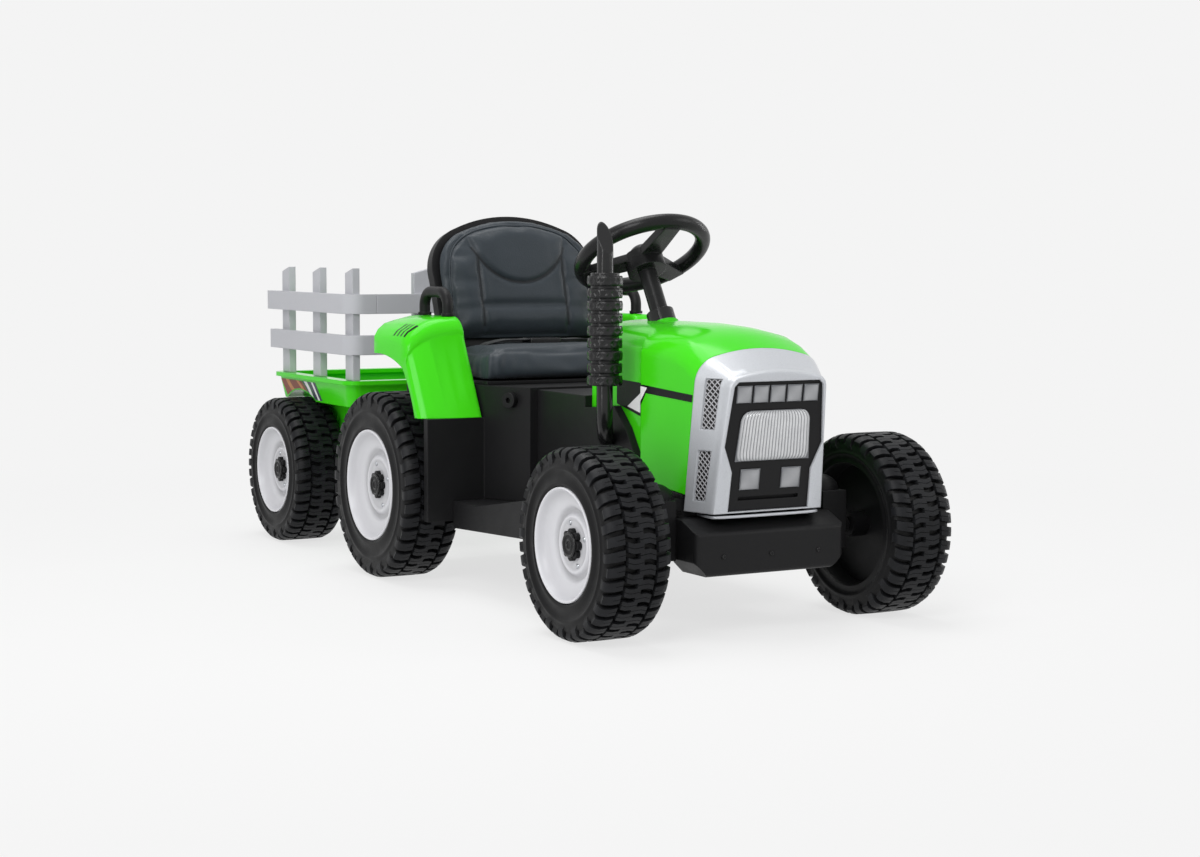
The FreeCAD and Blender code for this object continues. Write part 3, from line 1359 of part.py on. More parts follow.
def accelerator_pedal():
    """Foot plate on the right step, hinged at its heel and held up at a slant."""
    front, low = "front_axle_x - pedal_front_setback", "-pedal_centre_half - pedal_width / 2"
    heel = f"{front} - pedal_length"
    slope = "(step_toe_top - step_top) / (step_front_x - step_toe_length - step_rear_x - step_heel_length)"
    rest = f"step_top + ({heel} - step_rear_x - step_heel_length) * {slope}"
    heel_z = f"{rest} + pedal_pin_radius + 2 * seam_gap"
    plate = prism("pedal_plate", "XZ_Plane", [
        (heel, f"{heel_z}"), (front, f"{heel_z} + pedal_rise"),
        (front, f"{heel_z} + pedal_rise + pedal_thickness"), (heel, f"{heel_z} + pedal_thickness")],
        "pedal_width", "pedal_centre_half", symmetric=True)
    pin = rod("pedal_pin", "pedal_pin_radius", "pedal_width", heel, low, heel_z, "Y")
    return node(fuse("accelerator_pedal", plate, pin))


# Fenders and grab handles


def fender_profile(y, drop, inset):
    """Side outline of a fender lowered by drop: crown, sloping front and the edge of the wheel arch."""
    axle, top, round_off = mm("rear_axle_x"), mm("fender_top") - drop - inset, mm("fender_round")
    pull = drop / 2 + inset
    opening = 2 * inset
    foot_x, top_x = mm("fender_foot_front"), mm("fender_front_top")
    slope = (foot_x - top_x) / (mm("fender_top") - round_off - mm("fender_foot"))
    bend_x = axle + foot_x - pull - slope * (top - round_off - mm("fender_foot"))
    front_foot = Vector(axle + foot_x - pull + slope * opening, y, mm("fender_foot") - opening)
    front_top = Vector(bend_x, y, top - round_off)
    crest_front = Vector(bend_x - top_x + mm("fender_crest_front"), y, top)
    crest_rear = Vector(axle - mm("fender_crest_rear") + pull, y, top)
    tail_top = Vector(axle - mm("fender_tail") + pull, y, min(top, mm("fender_tail_top") - inset))
    tail_foot = Vector(axle - mm("fender_tail") + pull, y, mm("fender_tail_foot") - opening)
    arch = Vector(axle + mm("fender_arch_x"), y, mm("fender_arch_z") - opening)
    arch_front = Vector(axle + mm("fender_arch_front"), y, mm("fender_foot") - opening)
    corner = (front_top + crest_front) * 0.5 + Vector(round_off / 8, 0, round_off / 5)
    brow = (tail_foot + arch) * 0.5 + Vector(0, 0, round_off / 4)
    haunch = (arch + arch_front) * 0.5 + Vector(round_off / 9, 0, round_off / 9)
    return Part.Wire([
        line(arch_front, front_foot), line(front_foot, front_top), arc(front_top, corner, crest_front),
        line(crest_front, crest_rear), line(crest_rear, tail_top), line(tail_top, tail_foot),
        arc(tail_foot, brow, arch), arc(arch, haunch, arch_front)])


def fender_solid(inset):
    """Loft across the fender whose two sides curl down in quarter ellipses."""
    inner, outer = mm("fender_inner") + inset, mm("fender_outer") - inset
    steps = int(mm("fender_steps"))
    stations = []
    turns = [math.pi / 2 * i / steps for i in range(steps + 1)]
    for edge, sign, width, fall in ((inner, 1, mm("fender_inner_round"), mm("fender_inner_round")),
                                    (outer, -1, mm("fender_side_round"), mm("fender_side_drop"))):
        curl = [(edge + sign * (width - inset) * (1 - math.cos(turn)), (fall - inset) * (1 - math.sin(turn)))
                for turn in turns]
        stations += curl if sign > 0 else curl[::-1]
    return Part.makeLoft([fender_profile(y, drop, inset) for y, drop in stations], True, True)


def fenders():
    """Green mudguards: rounded shells open below, over the front half of each rear wheel."""
    left = node(shaped("fender_left", fender_solid(0.0).cut(fender_solid(mm("wall")))))
    node(mirror("fender_right", left))


def grab_handles():
    """Black bent-tube handles that stand on the crowns of the fenders."""
    axle, y, foot = mm("rear_axle_x"), mm("handle_half"), mm("fender_top") + mm("seam_gap")
    top = mm("handle_top") - mm("handle_radius")
    rear_foot = Vector(axle + mm("handle_rear"), y, foot)
    front_foot = Vector(axle + mm("handle_front"), y, foot)
    path = bent_path([rear_foot, Vector(rear_foot.x, y, top), Vector(front_foot.x, y, top), front_foot],
                     mm("handle_bend"))
    tube = sweep_round(path, mm("handle_radius"))
    feet = [Part.makeCylinder(mm("handle_foot_radius"), mm("handle_foot_height"), point)
            for point in (rear_foot, front_foot)]
    left = node(shaped("grab_handle_left", tube.fuse(feet).removeSplitter()))
    node(mirror("grab_handle_right", left))


# Seat


def back_outline(x, foot, margin, height):
    """Arched outline of the seat back in its own frame: waist, straight sides and a round head."""
    half = mm("back_half") - margin
    waist = mm("back_waist_half") - margin
    head_half = mm("back_head_half") - margin / 2
    top = height - margin
    shoulder = height * mm("back_shoulder_share")
    side = Vector(x, half, shoulder)
    crown = Vector(x, head_half, top - (top - shoulder) / 5)
    bow = Vector(x, half - (half - head_half) / 5, shoulder + (top - shoulder) / 2)

    def mirrored(p):
        return Vector(p.x, -p.y, p.z)
    foot_left = Vector(x, waist, foot)
    return Part.Wire([
        line(mirrored(foot_left), mirrored(side)), arc(mirrored(side), mirrored(bow), mirrored(crown)),
        arc(mirrored(crown), Vector(x, 0, top), crown), arc(crown, bow, side), line(side, foot_left),
        line(foot_left, mirrored(foot_left))])


def back_seat():
    """Frame of the leaning seat back: origin at its foot, +X out of its front."""
    return FreeCAD.Placement(Vector(mm("rear_axle_x") + mm("back_foot_x"), 0,
                                    mm("pan_top") + mm("back_foot_rise")),
                             FreeCAD.Rotation(Y_AXIS, -mm("back_lean")))


def seat_shell():
    """Black moulded shell: a flat pan and an arched back whose rim shows round the pad."""
    axle, thick = mm("rear_axle_x"), mm("pan_thickness")
    low = mm("base_top") + mm("seam_gap")
    pan = Part.makeBox(mm("seat_front") + mm("seat_rear"), 2 * mm("seat_half"), thick,
                       Vector(axle - mm("seat_rear"), -mm("seat_half"), low))
    depth = mm("back_shell_thickness")
    back = Part.Face(back_outline(-depth, -mm("back_foot_rise"), 0.0,
                                  mm("back_height"))).extrude(Vector(depth, 0, 0))
    rims = [edge for edge in back.Edges if edge.BoundBox.XMax < -depth + thick / 2 and
            edge.CenterOfMass.z > mm("back_pad_foot")]
    back = back.makeFillet(depth / 3, rims)
    back.Placement = back_seat()
    above = Part.makeBox(mm("wheelbase"), 4 * mm("seat_half"), 2 * mm("back_height"),
                         Vector(axle - mm("wheelbase") / 2, -2 * mm("seat_half"), low))
    return node(shaped("seat_shell", pan.fuse(back.common(above)).removeSplitter()))


def seat_back_pad():
    """Padded back: swells from a drawn-in edge to a crowned front, with sewn channels."""
    margin, drawn, thick = mm("back_pad_margin"), mm("back_pad_drawn"), mm("back_pad_thickness")
    foot, height, gap = mm("back_pad_foot"), mm("back_height"), mm("seam_gap")
    stations = ((gap, margin + drawn), (thick * mm("back_swell_share"), margin), (thick, margin + 2 * drawn))
    pad_solid = Part.makeLoft([back_outline(x, foot + inset - margin, inset, height)
                               for x, inset in stations], True, True)
    grooves, radius = [], mm("channel_radius")
    inner = mm("back_waist_half") * mm("back_seam_share")
    outer = mm("back_half") + mm("overrun")
    for share in MIDDLE_CHANNEL_SHARES:
        grooves.append(Part.makeCylinder(radius, 2 * inner,
                                         Vector(thick + radius / 3, -inner, height * share), Y_AXIS))
    for sign in (1, -1):
        seam = Part.makeCylinder(radius, height, Vector(thick + radius / 3, sign * inner, foot))
        grooves.append(seam)
        for share in SIDE_CHANNEL_SHARES:
            start = inner if sign > 0 else -outer
            grooves.append(Part.makeCylinder(radius, outer - inner,
                                             Vector(thick + radius / 3, start, height * share),
                                             Y_AXIS))
    pad_solid = pad_solid.cut(grooves[0].fuse(grooves[1:]))
    pad_solid.Placement = back_seat()
    return node(shaped("seat_back_pad", pad_solid))


def seat_cushion():
    """Seat pad: rolled front edge, drawn-in sides and a low crown, with two sewn channels."""
    axle = mm("rear_axle_x")
    front, rear = axle + mm("cushion_front"), axle + mm("cushion_rear")
    low, high, roll = mm("cushion_foot"), mm("cushion_top"), mm("cushion_roll")
    half, drawn, crown = mm("cushion_half"), mm("cushion_drawn"), mm("cushion_crown")

    def section(y, inset, drop):
        chord = roll * (1 - math.sqrt(2) / 2)
        top = high - drop
        points = [Vector(rear + inset, y, low), Vector(front - drawn - inset, y, low),
                  Vector(front - inset, y, low + roll), Vector(front - inset, y, top - roll),
                  Vector(front - roll - inset, y, top),
                  Vector(rear + inset, y, top)]
        return Part.Wire([
            line(points[0], points[1]),
            arc(points[1], (points[1] + points[2]) * 0.5 + Vector(drawn / 5, 0, -drawn / 5), points[2]),
            line(points[2], points[3]),
            arc(points[3], Vector(front - inset - chord, y, top - chord), points[4]),
            line(points[4], points[5]), line(points[5], points[0])])
    side = ((half, drawn, roll / 2), (half - roll / 3, drawn / 3, roll / 4), (half - roll, 0.0, crown / 2),
            (half / 2, 0.0, 0.0))
    stations = [(-y, *rest) for y, *rest in side] + list(reversed(side))
    solid = Part.makeLoft([section(*station) for station in stations], True, True)
    radius, length = mm("channel_radius"), front - rear
    for sign in (1, -1):
        solid = solid.cut(Part.makeCylinder(radius, 2 * length,
                                            Vector(rear - length / 2, sign * half * mm("cushion_seam_share"),
                                                                       high + radius / 3), Vector(1, 0, 0)))
    return node(shaped("seat_cushion", solid))


def lap_belt():
    """Two webbing halves on the cushion, meeting at a buckle."""
    x0, low = "rear_axle_x + belt_place", "cushion_top + seam_gap"
    x = (f"{x0} - belt_width / 2", f"{x0} + belt_width / 2")
    z = (low, f"{low} + belt_thickness")
    reach, middle = "belt_reach", "buckle_length / 2 + seam_gap"
    halves = [block("belt_left", x, (middle, reach), z),
              block("belt_right", x, (f"-{reach}", f"-({middle})"), z)]
    group = doc.addObject("Part::Compound", "lap_belt")
    group.Links = halves
    node(group)
    buckle = body("belt_buckle")
    pad(buckle, polygon(new_sketch(buckle, "XY_Plane", low), [
        (f"{x0} - buckle_width / 2", "-buckle_length / 2"),
        (f"{x0} + buckle_width / 2", "-buckle_length / 2"),
        (f"{x0} + buckle_width / 2", "buckle_length / 2"),
        (f"{x0} - buckle_width / 2", "buckle_length / 2")]),
        "buckle_height")
    soften(buckle, "belt_thickness * buckle_round_share", lambda edge: runs_along(edge, "Z") or
           edge.CenterOfMass.z > mm("cushion_top") + mm("buckle_height") - mm("belt_thickness"))
    node(buckle)


# Trailer


def trailer_tub():
    """Green hopper: deep middle, shallow wings beside it, top flange and an arch over each wheel."""
    axle, thick = mm("trailer_axle_x"), mm("wall")
    front, rear, half = axle + mm("tub_front"), axle - mm("tub_rear"), mm("tub_half")
    foot_front, foot_half = axle + mm("tub_foot_front"), mm("tub_foot_half")
    low, high, corner = mm("tub_bottom"), mm("tub_top"), mm("tub_corner")
    taper = half - foot_half

    def beside(sign, near, top):
        corner_y = near if sign > 0 else -near - half
        return Part.makeBox(2 * front - 2 * rear, half, top - low + thick,
                            Vector(rear - (front - rear) / 2, corner_y, low - thick))

    def hopper(inset, bottom, top):
        return Part.makeLoft([
            rounded_box_wire(rear + taper + inset, foot_front - inset, -foot_half + inset,
                             foot_half - inset, bottom,
                             corner - inset),
            rounded_box_wire(rear + inset, front - inset, -half + inset, half - inset, top, corner - inset)],
            True, True)
    outside = hopper(0.0, low, high)
    flange_size, ledge = mm("tub_flange"), thick + mm("tub_ledge")
    flange_low = high - mm("tub_flange_thickness")
    flange = Part.Face(rounded_box_wire(rear - flange_size, front + flange_size, -half - flange_size,
                                        half + flange_size, flange_low, corner + flange_size)).cut(
        Part.Face(rounded_box_wire(rear + ledge, front - ledge, -half + ledge, half - ledge, flange_low,
                                   corner - ledge)))
    rim_ring = flange.extrude(Vector(0, 0, mm("tub_flange_thickness")))
    inside = hopper(thick, mm("tub_floor_z"), high)
    radius, side = mm("well_radius"), mm("well_side")
    covers, spaces = [], []
    for sign in (1, -1):
        span = half + flange_size - side
        covers.append(Part.makeCylinder(radius + mm("well_wall"), span + mm("well_wall"),
                                        Vector(axle, sign * (side - mm("well_wall")),
                                               mm("trailer_tyre_radius")),
                                        Vector(0, sign, 0)))
        spaces.append(Part.makeCylinder(radius, span + mm("overrun"),
                                        Vector(axle, sign * side, mm("trailer_tyre_radius")),
                                        Vector(0, sign, 0)))
        covers.append(beside(sign, side - mm("well_wall"), mm("tub_wing") + mm("well_wall")))
        spaces.append(beside(sign, side, mm("tub_wing")))
    inside = inside.cut(covers[0].fuse(covers[1:]))
    shell = outside.cut(inside).fuse(rim_ring).removeSplitter()
    solid = shell.cut(spaces[0].fuse(spaces[1:])).removeSplitter()
    return node(shaped("trailer_tub", solid))


def trailer_frame():
    """Black chassis of the trailer: drawbar channel with a hitch eye, and hangers for the axle."""
    top = "frame_top"
    bar = block("drawbar", ("trailer_axle_x - frame_rear", "hitch_x - eye_radius * 2"),
                ("-frame_half", "frame_half"),
                (f"{top} - frame_height", top))
    hollow = block("drawbar_hollow", ("trailer_axle_x - frame_rear - overrun",
                                      "hitch_x - eye_radius * 2 - 2 * wall"),
                   ("-frame_half + frame_wall", "frame_half - frame_wall"),
                   (f"{top} - frame_height - overrun", f"{top} - frame_wall"))
    eye_low = "tongue_bottom + tongue_thickness + seam_gap"
    neck = block("eye_neck", ("hitch_x - eye_radius * eye_neck_share", "hitch_x"),
                 ("-eye_radius * eye_neck_half_share", "eye_radius * eye_neck_half_share"),
                 (eye_low, f"{eye_low} + eye_thickness"))
    eye = rod("eye", "eye_radius", "eye_thickness", "hitch_x", "0", eye_low)
    solids = [bar, neck, eye]
    for sign, hand in ((1, "left"), (-1, "right")):
        near, far = "hanger_half - hanger_thickness / 2", "hanger_half + hanger_thickness / 2"
        span = (near, far) if sign > 0 else (f"-({far})", f"-({near})")
        solids.append(block("hanger_" + hand,
                            ("trailer_axle_x - hanger_width / 2", "trailer_axle_x + hanger_width / 2"),
                            span, ("trailer_tyre_radius - hanger_drop", top)))
    cross = block("cross_member", ("trailer_axle_x - hanger_width / 2", "trailer_axle_x + hanger_width / 2"),
                  ("-hanger_half", "hanger_half"), (f"{top} - frame_height", top))
    hole = rod("eye_hole", "hitch_pin_radius + running_gap", "eye_thickness + 2 * overrun", "hitch_x", "0",
               f"{eye_low} - overrun")
    axle_hole = rod("hanger_hole", "axle_radius + running_gap", "2 * (hanger_half + overrun)",
                    "trailer_axle_x",
                    "-hanger_half - overrun", "trailer_tyre_radius", "Y")
    return node(cut("trailer_frame", fuse("frame_solid", *solids, cross), hollow, hole, axle_hole))


def hitch_pin():
    """Headed pin through the tractor's tongue and the drawbar eye."""
    top = "tongue_bottom + tongue_thickness + 2 * seam_gap + eye_thickness"
    shank = rod("pin_shank", "hitch_pin_radius", f"{top} - tongue_bottom + tongue_thickness / 2", "hitch_x",
                "0",
                "tongue_bottom - tongue_thickness / 2")
    head = rod("pin_head", "hitch_head_radius", "hitch_head_height", "hitch_x", "0", top)
    return node(fuse("hitch_pin", shank, head))


def fence_rail(low, high, setback, y_end):
    """Side rail that turns the rounded front corner, as a plan outline lifted by the rail's height."""
    axle = mm("trailer_axle_x")
    outer, thick, bend = mm("fence_half"), mm("fence_thickness"), mm("fence_bend")
    rear, front = mm("rear_end_x") + setback, axle + mm("fence_front")
    inner, inner_bend = outer - thick, bend - thick
    centre = Vector(front - bend, outer - bend, low)
    slant = Vector(math.sqrt(0.5), math.sqrt(0.5), 0)
    path = Part.Wire([
        line(Vector(rear, outer, low), Vector(centre.x, outer, low)),
        arc(Vector(centre.x, outer, low), centre + slant * bend, Vector(front, centre.y, low)),
        line(Vector(front, centre.y, low), Vector(front, y_end, low)),
        line(Vector(front, y_end, low), Vector(front - thick, y_end, low)),
        line(Vector(front - thick, y_end, low), Vector(front - thick, centre.y, low)),
        arc(Vector(front - thick, centre.y, low), centre + slant * inner_bend, Vector(centre.x, inner, low)),
        line(Vector(centre.x, inner, low), Vector(rear, inner, low)),
        line(Vector(rear, inner, low), Vector(rear, outer, low))])
    return Part.Face(path).extrude(Vector(0, 0, high - low))


def post(x, y, width_along, outward):
    """Upright board with a slanted head; it stands inside the rails on the tub's flange."""
    width, thick = mm("post_width"), mm("post_thickness")
    low, top, slant = mm("tub_top") + mm("seam_gap"), mm("post_top"), mm("post_slant")
    along = Vector(width / 2, 0, 0) if width_along == "X" else Vector(0, width / 2, 0)
    centre = Vector(x, y, 0)
    outline = [centre - along + Vector(0, 0, low), centre + along + Vector(0, 0, low),
               centre + along + Vector(0, 0, top), centre - along + Vector(0, 0, top - slant)]
    return Part.Face(wire_of(outline)).extrude(outward * -thick)


def fences():
    """Grey slatted fence: a side piece with a rounded corner on each side, and a front piece between."""
    axle, split = mm("trailer_axle_x"), mm("fence_split_half")
    rails = [(mm("lower_rail_foot"), mm("lower_rail_top"), mm("lower_rail_setback")),
             (mm("upper_rail_foot"), mm("upper_rail_top"), 0.0)]
    inner = mm("fence_half") - mm("fence_thickness")
    side = [fence_rail(*rail, split + mm("seam_gap") / 2) for rail in rails]
    count = int(mm("side_post_count"))
    first, last = axle + mm("post_front") - mm("fence_bend") - mm("post_width") / 2, mm("rear_end_x")
    pitch = (first - last - mm("post_rear_margin")) / (count - 1)
    side += [post(first - i * pitch, inner, "X", Y_AXIS) for i in range(count)]
    left = node(shaped("trailer_fence_left", side[0].fuse(side[1:]).removeSplitter()))
    node(mirror("trailer_fence_right", left))
    front_x = axle + mm("fence_front")
    front = [Part.makeBox(mm("fence_thickness"), 2 * split - mm("seam_gap"), high - low,
                          Vector(front_x - mm("fence_thickness"), -split + mm("seam_gap") / 2, low))
             for low, high, _ in rails]
    for sign in (1, -1):
        front.append(post(front_x - mm("fence_thickness"), sign * mm("front_post_half"), "Y",
                          Vector(1, 0, 0)))
    node(shaped("trailer_fence_front", front[0].fuse(front[1:]).removeSplitter()))


NODES = {}


def node(item, name=None):
    """Keep an object as one sub-part under its own label."""
    label = name or item.Name
    item.Label = label
    NODES[label] = item
    return item


def build():
    fill_sheets()
    wheels()
    axles()
    front_axle_beam()
    knuckle()
    tie_rod()
    steering_rod()
    steering_wheel()
    horn_button()
    steering_collar()
    hood()
    grille_surround()
    grille_insert()
    lamps()
    dash()
    front_bumper()
    exhaust_stack()
    lower_body()
    seat_base()
    drive_train()
    charging_socket()
    accelerator_pedal()
    fenders()
    grab_handles()
    seat_shell()
    seat_back_pad()
    seat_cushion()
    lap_belt()
    trailer_tub()
    trailer_frame()
    hitch_pin()
    fences()
    doc.recompute()


def check():
    """Stop on any failed object and on any sub-part without a valid shape."""
    failed = [item.Label for item in doc.Objects if {"Invalid", "Error"} & set(item.State)]
    failed += [label for label, item in NODES.items() if item.Shape.isNull() or not item.Shape.isValid()
               or not item.Shape.Solids]
    if failed:
        raise RuntimeError("failed: " + ", ".join(sorted(set(failed))))


def export():
    os.makedirs("parts", exist_ok=True)
    for label, item in NODES.items():
        item.Shape.exportStep(f"parts/{label}.step")


build()
check()
export()
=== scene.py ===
"""Looks of a child's ride-on tractor with a fenced trailer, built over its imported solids."""

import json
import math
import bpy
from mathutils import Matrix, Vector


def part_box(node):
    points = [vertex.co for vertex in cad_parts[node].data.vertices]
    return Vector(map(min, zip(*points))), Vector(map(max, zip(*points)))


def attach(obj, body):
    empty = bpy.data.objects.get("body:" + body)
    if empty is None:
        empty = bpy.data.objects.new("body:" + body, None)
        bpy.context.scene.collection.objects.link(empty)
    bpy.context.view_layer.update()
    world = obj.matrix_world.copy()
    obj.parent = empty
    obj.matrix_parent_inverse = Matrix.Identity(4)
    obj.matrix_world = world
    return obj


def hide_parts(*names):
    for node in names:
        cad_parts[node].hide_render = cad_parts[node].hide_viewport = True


bl_info = {
    "name": "Ride-on tractor looks",
    "version": (1, 0, 0),
    "blender": (4, 5, 0),
    "location": "View3D > Sidebar > Tractor",
    "description": "Tyres, seat, lamps, stripes and moulded finishes for a ride-on tractor and trailer",
    "category": "Object",
}

from functools import partial

import bmesh
import bpy
import numpy as np
from mathutils import Matrix, Vector

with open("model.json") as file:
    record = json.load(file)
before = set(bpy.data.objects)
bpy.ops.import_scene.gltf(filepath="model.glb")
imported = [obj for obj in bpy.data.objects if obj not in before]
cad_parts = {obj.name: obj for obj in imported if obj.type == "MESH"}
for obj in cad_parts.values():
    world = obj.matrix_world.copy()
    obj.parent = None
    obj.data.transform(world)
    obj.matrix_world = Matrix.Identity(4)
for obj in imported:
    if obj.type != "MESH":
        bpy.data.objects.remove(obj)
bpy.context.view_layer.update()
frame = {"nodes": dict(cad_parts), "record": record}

MM = 0.001
AHEAD = np.array([1.0, 0.0, 0.0])
# Points that are closer than this are one point.
MERGE = 1e-6
# Where points start, outside the surface that they are laid on: metres along the axis that they move on.
START = {"seat_back": 0.09, "surround": 0.12, "hood": 0.16, "tub": 0.23, "cushion": 0.42, "fender": 0.45,
         "bumper": 0.7}
HANDS = (("left", 1.0), ("right", -1.0))
WHEEL_SETS = ("front", "rear", "trailer")
WHEELS = [(axle, hand, sign) for axle in WHEEL_SETS for hand, sign in HANDS]
SLOT_OF = {part["node"]: part["material_slot"] for part in frame["record"]["subparts"]}


def box_of(node):
    """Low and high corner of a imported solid's box, as arrays."""
    return [np.array(corner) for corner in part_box(node)]


# Lengthwise place of each axle, which the details are measured from.
FRONT_X, REAR_X, TRAILER_X = (np.mean(box_of(f"{axle}_tyre_left"), axis=0)[0] for axle in WHEEL_SETS)


def linear(hex_colour):
    """Linear red, green and blue of an sRGB hex colour: c/12.92 when dark, else ((c+0.055)/1.055)^2.4."""
    value = np.array([int(hex_colour[i:i + 2], 16) for i in (0, 2, 4)]) / 255
    return tuple(np.where(value <= 0.04045, value / 12.92, ((value + 0.055) / 1.055) ** 2.4).tolist())


def colour(name, description, hex_colour):
    return bpy.props.FloatVectorProperty(name=name, description=description, subtype="COLOR", size=3,
                                         min=0.0, max=1.0, default=linear(hex_colour))


def length(name, description, millimetres):
    return bpy.props.FloatProperty(name=name, description=description, unit="LENGTH", min=0.0,
                                   precision=4, default=millimetres * MM)


def count(name, description, usual, least):
    return bpy.props.IntProperty(name=name, description=description, default=usual, min=least, max=60)


class TractorColours(bpy.types.PropertyGroup):
    """Colours of the mouldings, the seat, the stripes and the backdrop."""
    body: colour("Body green", "Gloss green of hood, fenders and tub", "46D61A")
    body_deep: colour("Deep green", "Green where the moulding is thick", "3CCD12")
    trim: colour("Grille silver", "Silver paint of the grille surround", "C6C9CE")
    moulding: colour("Black moulding", "Satin black of floor, base and bumper", "19191A")
    tread: colour("Tyre black", "Black of the blow-moulded tyres", "101011")
    tread_worn: colour("Worn tread", "Rubbed tops of the tread blocks", "222326")
    wheel: colour("Rim white", "White of the wheel rims", "D2D2D6")
    fence: colour("Fence grey", "Light grey of the trailer fence", "B8B9BE")
    # Lamp lenses: the lit silver, and a painted shade for their flute valleys and rims, which the lamp solids
    # also take all over.
    lens: colour("Lamp lens", "Silvered lamp lenses", "DCDDDF")
    lens_painted_shade: colour("Lamp shade", "Darker foot of a lamp lens", "66686C")
    seat: colour("Seat cover", "Blue-black leatherette", "2B3238")
    strap: colour("Belt webbing", "Black lap belt", "121316")
    zinc: colour("Zinc", "Zinc-plated rods and screws", "C2C5C9")
    warning: colour("Start button", "Red start button", "C41E1A")
    film_black: colour("Black stripe", "Black stripe film", "0F1012")
    film_white: colour("White stripe", "White stripe film", "F0F0F1")
    film_rust: colour("Rust stripe", "Rust-red stripe film", "8A4632")
    film_amber: colour("Amber stripe", "Amber stripe film", "C98B52")
    film_slate: colour("Slate stripe", "Slate grey stripe film", "4C525C")
    mesh: colour("Vent mesh", "Grey wire of the vent mesh", "B4B4B8")
    backdrop: colour("Backdrop", "Pale floor and surroundings", "F4F4F4")


class TractorSizes(bpy.types.PropertyGroup):
    """Sizes of the details that are added to the solids."""
    lug_count: count("Tread blocks", "Blocks in each row of the tread", 40, 8)
    tread_depth: length("Tread depth", "Height of the tread blocks", 6.8)
    flute_count: count("Lamp flutes", "Upright flutes of the wide lamp", 23, 5)
    vent_pitch: length("Vent mesh pitch", "Spacing of the vent mesh", 7.0)
    seam_depth: length("Seam depth", "How far seams pull into the seat back", 4.0)
    seam_width: length("Seam width", "Half width of the dip at a seam", 4.2)
    piping: length("Piping radius", "Radius of the sewn piping", 1.7)
    voxel: length("Pad voxel", "Cell of the mesh that is inflated", 4.5)
    swell: length("Pad swell", "Most that a pad may swell", 6.0)
    screw_radius: length("Screw head radius", "Radius of the small screw heads", 3.4)
    film_lift: length("Film lift", "Height of the stripe film over its surface", 0.35)


class Step:
    """A step of the build, which does its work and then reports that it is finished."""

    def execute(self, context):
        self.build(context, context.scene.tractor_sizes)
        return {"FINISHED"}


# Meshes


def mesh_of(name, points, faces):
    """Mesh from an array of points and an array of faces that all have as many corners."""
    mesh = bpy.data.meshes.new(name)
    mesh.vertices.add(len(points))
    mesh.vertices.foreach_set("co", np.ascontiguousarray(points, dtype=np.float32).ravel())
    mesh.loops.add(faces.size)
    mesh.loops.foreach_set("vertex_index", np.ascontiguousarray(faces, dtype=np.int32).ravel())
    mesh.polygons.add(len(faces))
    mesh.polygons.foreach_set("loop_start", np.arange(0, faces.size, faces.shape[1], dtype=np.int32))
    shade_smooth(mesh)
    mesh.update(calc_edges=True)
    mesh.validate()
    return mesh


def shade_smooth(mesh):
    mesh.polygons.foreach_set("use_smooth", np.ones(len(mesh.polygons), dtype=bool))


def cells(shape, around, closed):
    """Four corner numbers of each cell of a grid of rows and columns.

    around joins the last column to the first one, and closed joins the last row to the first one.
    """
    index = np.arange(shape[0] * shape[1]).reshape(shape[:2])
    if closed:
        index = np.vstack([index, index[:1]])
    if around:
        index = np.hstack([index, index[:, :1]])
    return np.stack([index[:-1, :-1], index[:-1, 1:], index[1:, 1:], index[1:, :-1]], axis=-1).reshape(-1, 4)


def grids_mesh(name, grids, around=False, closed=False):
    """One mesh from several grids of points, each joined to itself in the same way."""
    points, faces, start = [], [], 0
    for grid in grids:
        faces.append(cells(grid.shape, around, closed) + start)
        points.append(grid.reshape(-1, 3))
        start += points[-1].shape[0]
    return mesh_of(name, np.concatenate(points), np.concatenate(faces))


def outward(mesh):
    """Turn the faces of closed shells outwards, after their doubles are merged."""
    work = bmesh.new()
    work.from_mesh(mesh)
    bmesh.ops.remove_doubles(work, verts=work.verts, dist=MERGE)
    bmesh.ops.recalc_face_normals(work, faces=work.faces)
    work.to_mesh(mesh)
    work.free()
    return mesh


def rings(name, grids, attribute=None, values=None):
    """Closed shells from grids that join both ways, with a value at each point for their finish to read."""
    mesh = grids_mesh(name, grids, around=True, closed=True)
    if attribute:
        mark(mesh, attribute, values)
    return outward(mesh)


def mark(mesh, attribute, values):
    """Give each point of a mesh a value that its finish can read."""
    layer = mesh.attributes.new(attribute, "FLOAT", "POINT")
    layer.data.foreach_set("value", np.asarray(values, dtype=np.float32).ravel())


def add_piece(mesh, finish, body, replaces=()):
    """Put a mesh in the scene under its own name, with a finish, riding on a body, in a material slot."""
    piece = bpy.data.objects.new(mesh.name, mesh)
    bpy.context.scene.collection.objects.link(piece)
    mesh.materials.append(finish_named(finish))
    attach(piece, body)
    if replaces:
        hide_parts(*replaces)
    return piece


def thicken(piece, thickness):
    """Give an open sheet a back, behind the face that shows."""
    wall = piece.modifiers.new("wall", "SOLIDIFY")
    wall.thickness, wall.offset = thickness, -1.0


def divide(piece):
    """Divide a piece's faces once into smooth ones."""
    finer = piece.modifiers.new("finer", "SUBSURF")
    finer.levels = finer.render_levels = 1


def points_of(item):
    """Points of an object's mesh as an array, with its modifiers."""
    mesh = item.evaluated_get(bpy.context.evaluated_depsgraph_get()).data
    points = np.empty(len(mesh.vertices) * 3, dtype=np.float32)
    mesh.vertices.foreach_get("co", points)
    return points.reshape(-1, 3).astype(float)


def normals_of(mesh):
    normals = np.empty(len(mesh.vertices) * 3, dtype=np.float32)
    mesh.vertices.foreach_get("normal", normals)
    return normals.reshape(-1, 3)


def set_points(mesh, points):
    mesh.vertices.foreach_set("co", points.astype(np.float32).ravel())
    mesh.update()


